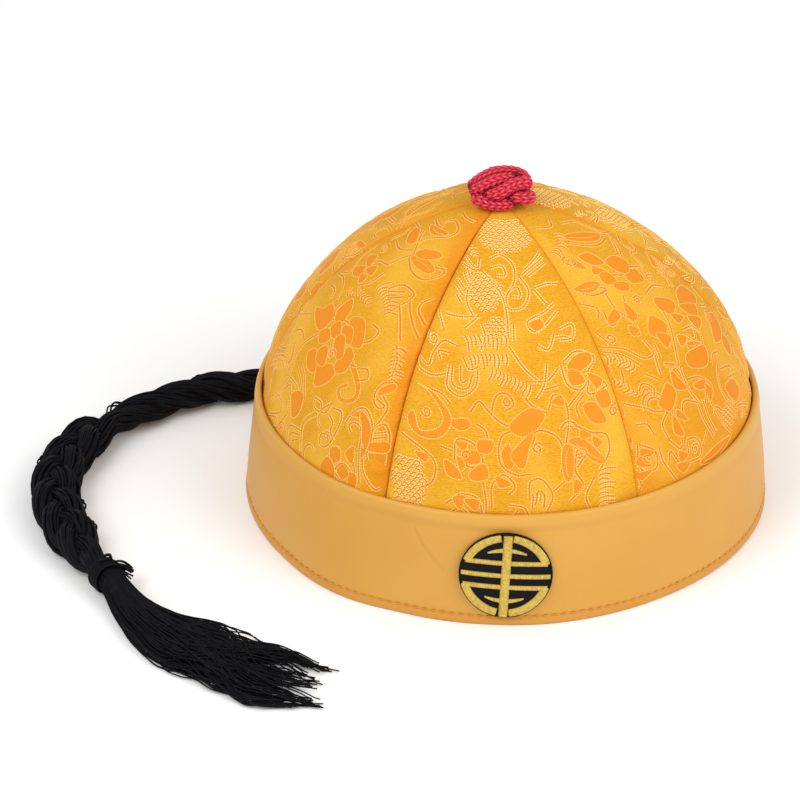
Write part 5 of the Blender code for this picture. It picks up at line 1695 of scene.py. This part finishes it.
def add_tassel(yarn):
    """Loose ends of the yarn below the binding.

    Each lies along the tassel's line with its own side, level, length and wander. They fan from
    the neck, sink to the surface and cling together in wavy locks towards their tips.
    """
    many, stations, locks = 400, 52, 14
    lock = chance.integers(0, locks, many)
    share = np.linspace(0.0, 1.0, stations)[None]
    route, run = smooth_line(TASSEL_ROUTE, step=1.0)
    aside = left_of(route)
    lock_lane = (np.linspace(-1.12, 1.12, locks) + chance.normal(0.0, 0.09, locks))[:, None][lock]
    raggedness = 1.0 - 0.40 * chance.random((many, 1)) ** 0.9
    raggedness = raggedness * chance.uniform(0.90, 1.03, (locks, 1))[lock]
    reach = raggedness * (0.97 + 0.04 * lock_lane) * run[-1]
    place = reach * share
    x, y, side_x, side_y = (np.interp(place, run, column) for column in (*route.T, *aside.T))
    own_lane = np.clip(chance.normal(0.0, 0.52, (many, 1)), -1.15, 1.15)
    level = chance.random((many, 1))
    far = place / run[-1]
    lane = own_lane + 0.93 * (lock_lane - own_lane) * eased((far - 0.40) / 0.36)
    width = 3.9 + 8.7 * eased(far / 0.55) - 2.6 * eased((far - 0.72) / 0.3)
    wander = smooth_noise(many, stations, 7, 0.30) * (0.25 + 2.1 * far ** 1.5)
    wander = wander + smooth_noise(locks, stations, 8, 1.9)[lock] * far ** 1.4
    crimp = smooth_noise(many, stations, 22, 0.46) * far
    spread = np.clip(lane - 0.1, 0.0, None) * 7.5 * eased((far - 0.25) / 0.35)
    across = lane * width + spread + wander + crimp
    pile = 9.6 - 2.2 * eased(far / 0.5) - 5.2 * eased((far - 0.45) / 0.55)
    crown = np.sqrt(np.clip(1.0 - (np.clip(np.abs(lane), 0.0, 1.0) * 0.9) ** 2, 0.1, 1.0))
    rise = 0.4 + level * pile * crown + np.abs(smooth_noise(many, stations, 9, 0.5)) * far
    start_rise = REST_HEIGHT + 4.2 * (2.0 * level - 1.0) * np.sqrt(np.clip(1.0 - 0.7 * lane ** 2, 0.05, 1.0))
    gathered = 1.0 - eased(place / 16.0)
    rise = gathered * start_rise + (1.0 - gathered) * rise
    lines = np.stack([x + across * side_x, y + across * side_y, np.maximum(rise, 0.4)], axis=-1)
    points, faces = tubes(lines, 0.40 - 0.15 * share, 4)
    return add_piece("queue_tassel_yarns", points, faces, yarn, ("queue_tassel",))


# Run along the queue, the side a loop stands out on, how far, how high, how far its feet are apart
LOOP_ENDS = (
    (186.0, -1.0, 7.2, 8.0, 7.0), (204.0, -1.0, 7.9, 8.0, 6.0), (259.0, 1.0, 9.0, 7.5, 6.0),
    (275.0, 1.0, 9.3, 6.5, 5.0), (228.0, -1.0, 8.4, 7.0, 6.0), (150.0, -1.0, 6.3, 8.0, 8.0),
)


def add_stray_yarns(yarn):
    """Loops that have slipped out of the plait, and a small tuft at the binding."""
    middle, run, _, _ = queue_middle()
    lines = []
    for at, side, out, high, apart in LOOP_ENDS:
        for strand in range(4):
            share = np.linspace(0.0, 1.0, 24)
            shift, stretch = chance.uniform(-1.8, 1.8), chance.uniform(0.5, 1.2)
            sway = 1.0 + 0.25 * np.sin(2.0 * math.pi * share + strand)
            place = at + shift + (share - 0.5) * apart * stretch * sway
            centre = read_off(place, run, middle)
            ahead = unit(np.gradient(centre, axis=0))
            aside = np.column_stack([-ahead[:, 1], ahead[:, 0], 0.0 * share])
            bow = np.sin(math.pi * share) ** 0.8
            reach = side * (3.5 + (out - 3.5 + 0.3 * strand) * bow)
            lift = (high - 6.2 + 0.5 * strand) * np.sin(math.pi * share + 0.4 * strand)
            lines.append(centre + reach[:, None] * aside + lift[:, None] * UPWARD)
    end, ahead, aside = neck_frame()
    for strand in range(22):
        share = np.linspace(0.0, 1.0, 24)
        length = 6.0 + 4.5 * chance.random()
        sway, lift = chance.normal(0.0, 1.6), chance.normal(0.0, 1.3)
        line = (
            end - 3.0 * ahead
            + (share * length)[:, None] * (0.86 * aside + 0.5 * ahead)
            + (sway * share ** 1.3)[:, None] * ahead
            + ((2.2 + lift) * np.sin(math.pi * share * 0.8) - 2.6 * share ** 2)[:, None] * UPWARD
            + [0.0, 0.0, 2.2]
        )
        lines.append(line)
    points, faces = tubes(settle(np.stack(lines), 0.45), 0.36, 5)
    return add_piece("queue_stray_yarns", points, faces, yarn)


def lay_floor():
    """A pale plain tabletop under a white surround."""
    mesh = bpy.data.meshes.new("tabletop")
    reach = 6.0
    corners = [(-reach, -reach, 0.0), (reach, -reach, 0.0), (reach, reach, 0.0), (-reach, reach, 0.0)]
    mesh.from_pydata(corners, [], [(0, 1, 2, 3)])
    look = Look("tabletop", Roughness=0.9, Specular_IOR_Level=0.1)
    grain = look.noise(look.object_place(), 3.0)
    look.drive("Base Color", look.mix(look.product(grain, 0.05), (0.97, 0.97, 0.97), (0.93, 0.93, 0.93)))
    mesh.materials.append(look.material)
    top = bpy.data.objects.new("tabletop", mesh)
    bpy.context.scene.collection.objects.link(top)
    world = bpy.data.worlds.new("white_surround")
    world.use_nodes = True
    sky = world.node_tree.nodes["Background"]
    sky.inputs["Color"].default_value = (1.0, 1.0, 1.0, 1.0)
    sky.inputs["Strength"].default_value = 0.70
    bpy.context.scene.world = world


place_camera()
bpy.context.scene.view_settings.view_transform = "Standard"
lay_floor()
soft_light("key", (-1.1, -0.9, 1.5), (0.0, 0.0, 0.05), 1.2, 16.5, (1.0, 1.0, 0.99))
soft_light("fill", (1.2, -0.9, 1.1), (0.0, 0.0, 0.05), 1.2, 14.5, (1.0, 1.0, 0.99))

yarn = yarn_look()
queue, queue_line, queue_run = add_queue(yarn)
loose = [add_queue_root(yarn), add_queue_tie(yarn), add_tassel(yarn), add_stray_yarns(yarn)]

brocade = brocade_look()
pattern_thread = pattern_thread_look()
DESIGNS = (front_design, right_design, front_design, left_design, right_design, left_design)
for index, design in enumerate(DESIGNS):
    marks = design()
    add_gore(index + 1, marks, brocade)
    add_gore_threads(index + 1, marks, pattern_thread)
add_band(satin_look())
add_topstitching(topstitch_look())
add_button(cord_look())
add_badge_ground(badge_cloth_look())
add_badge_figure(gold_look())
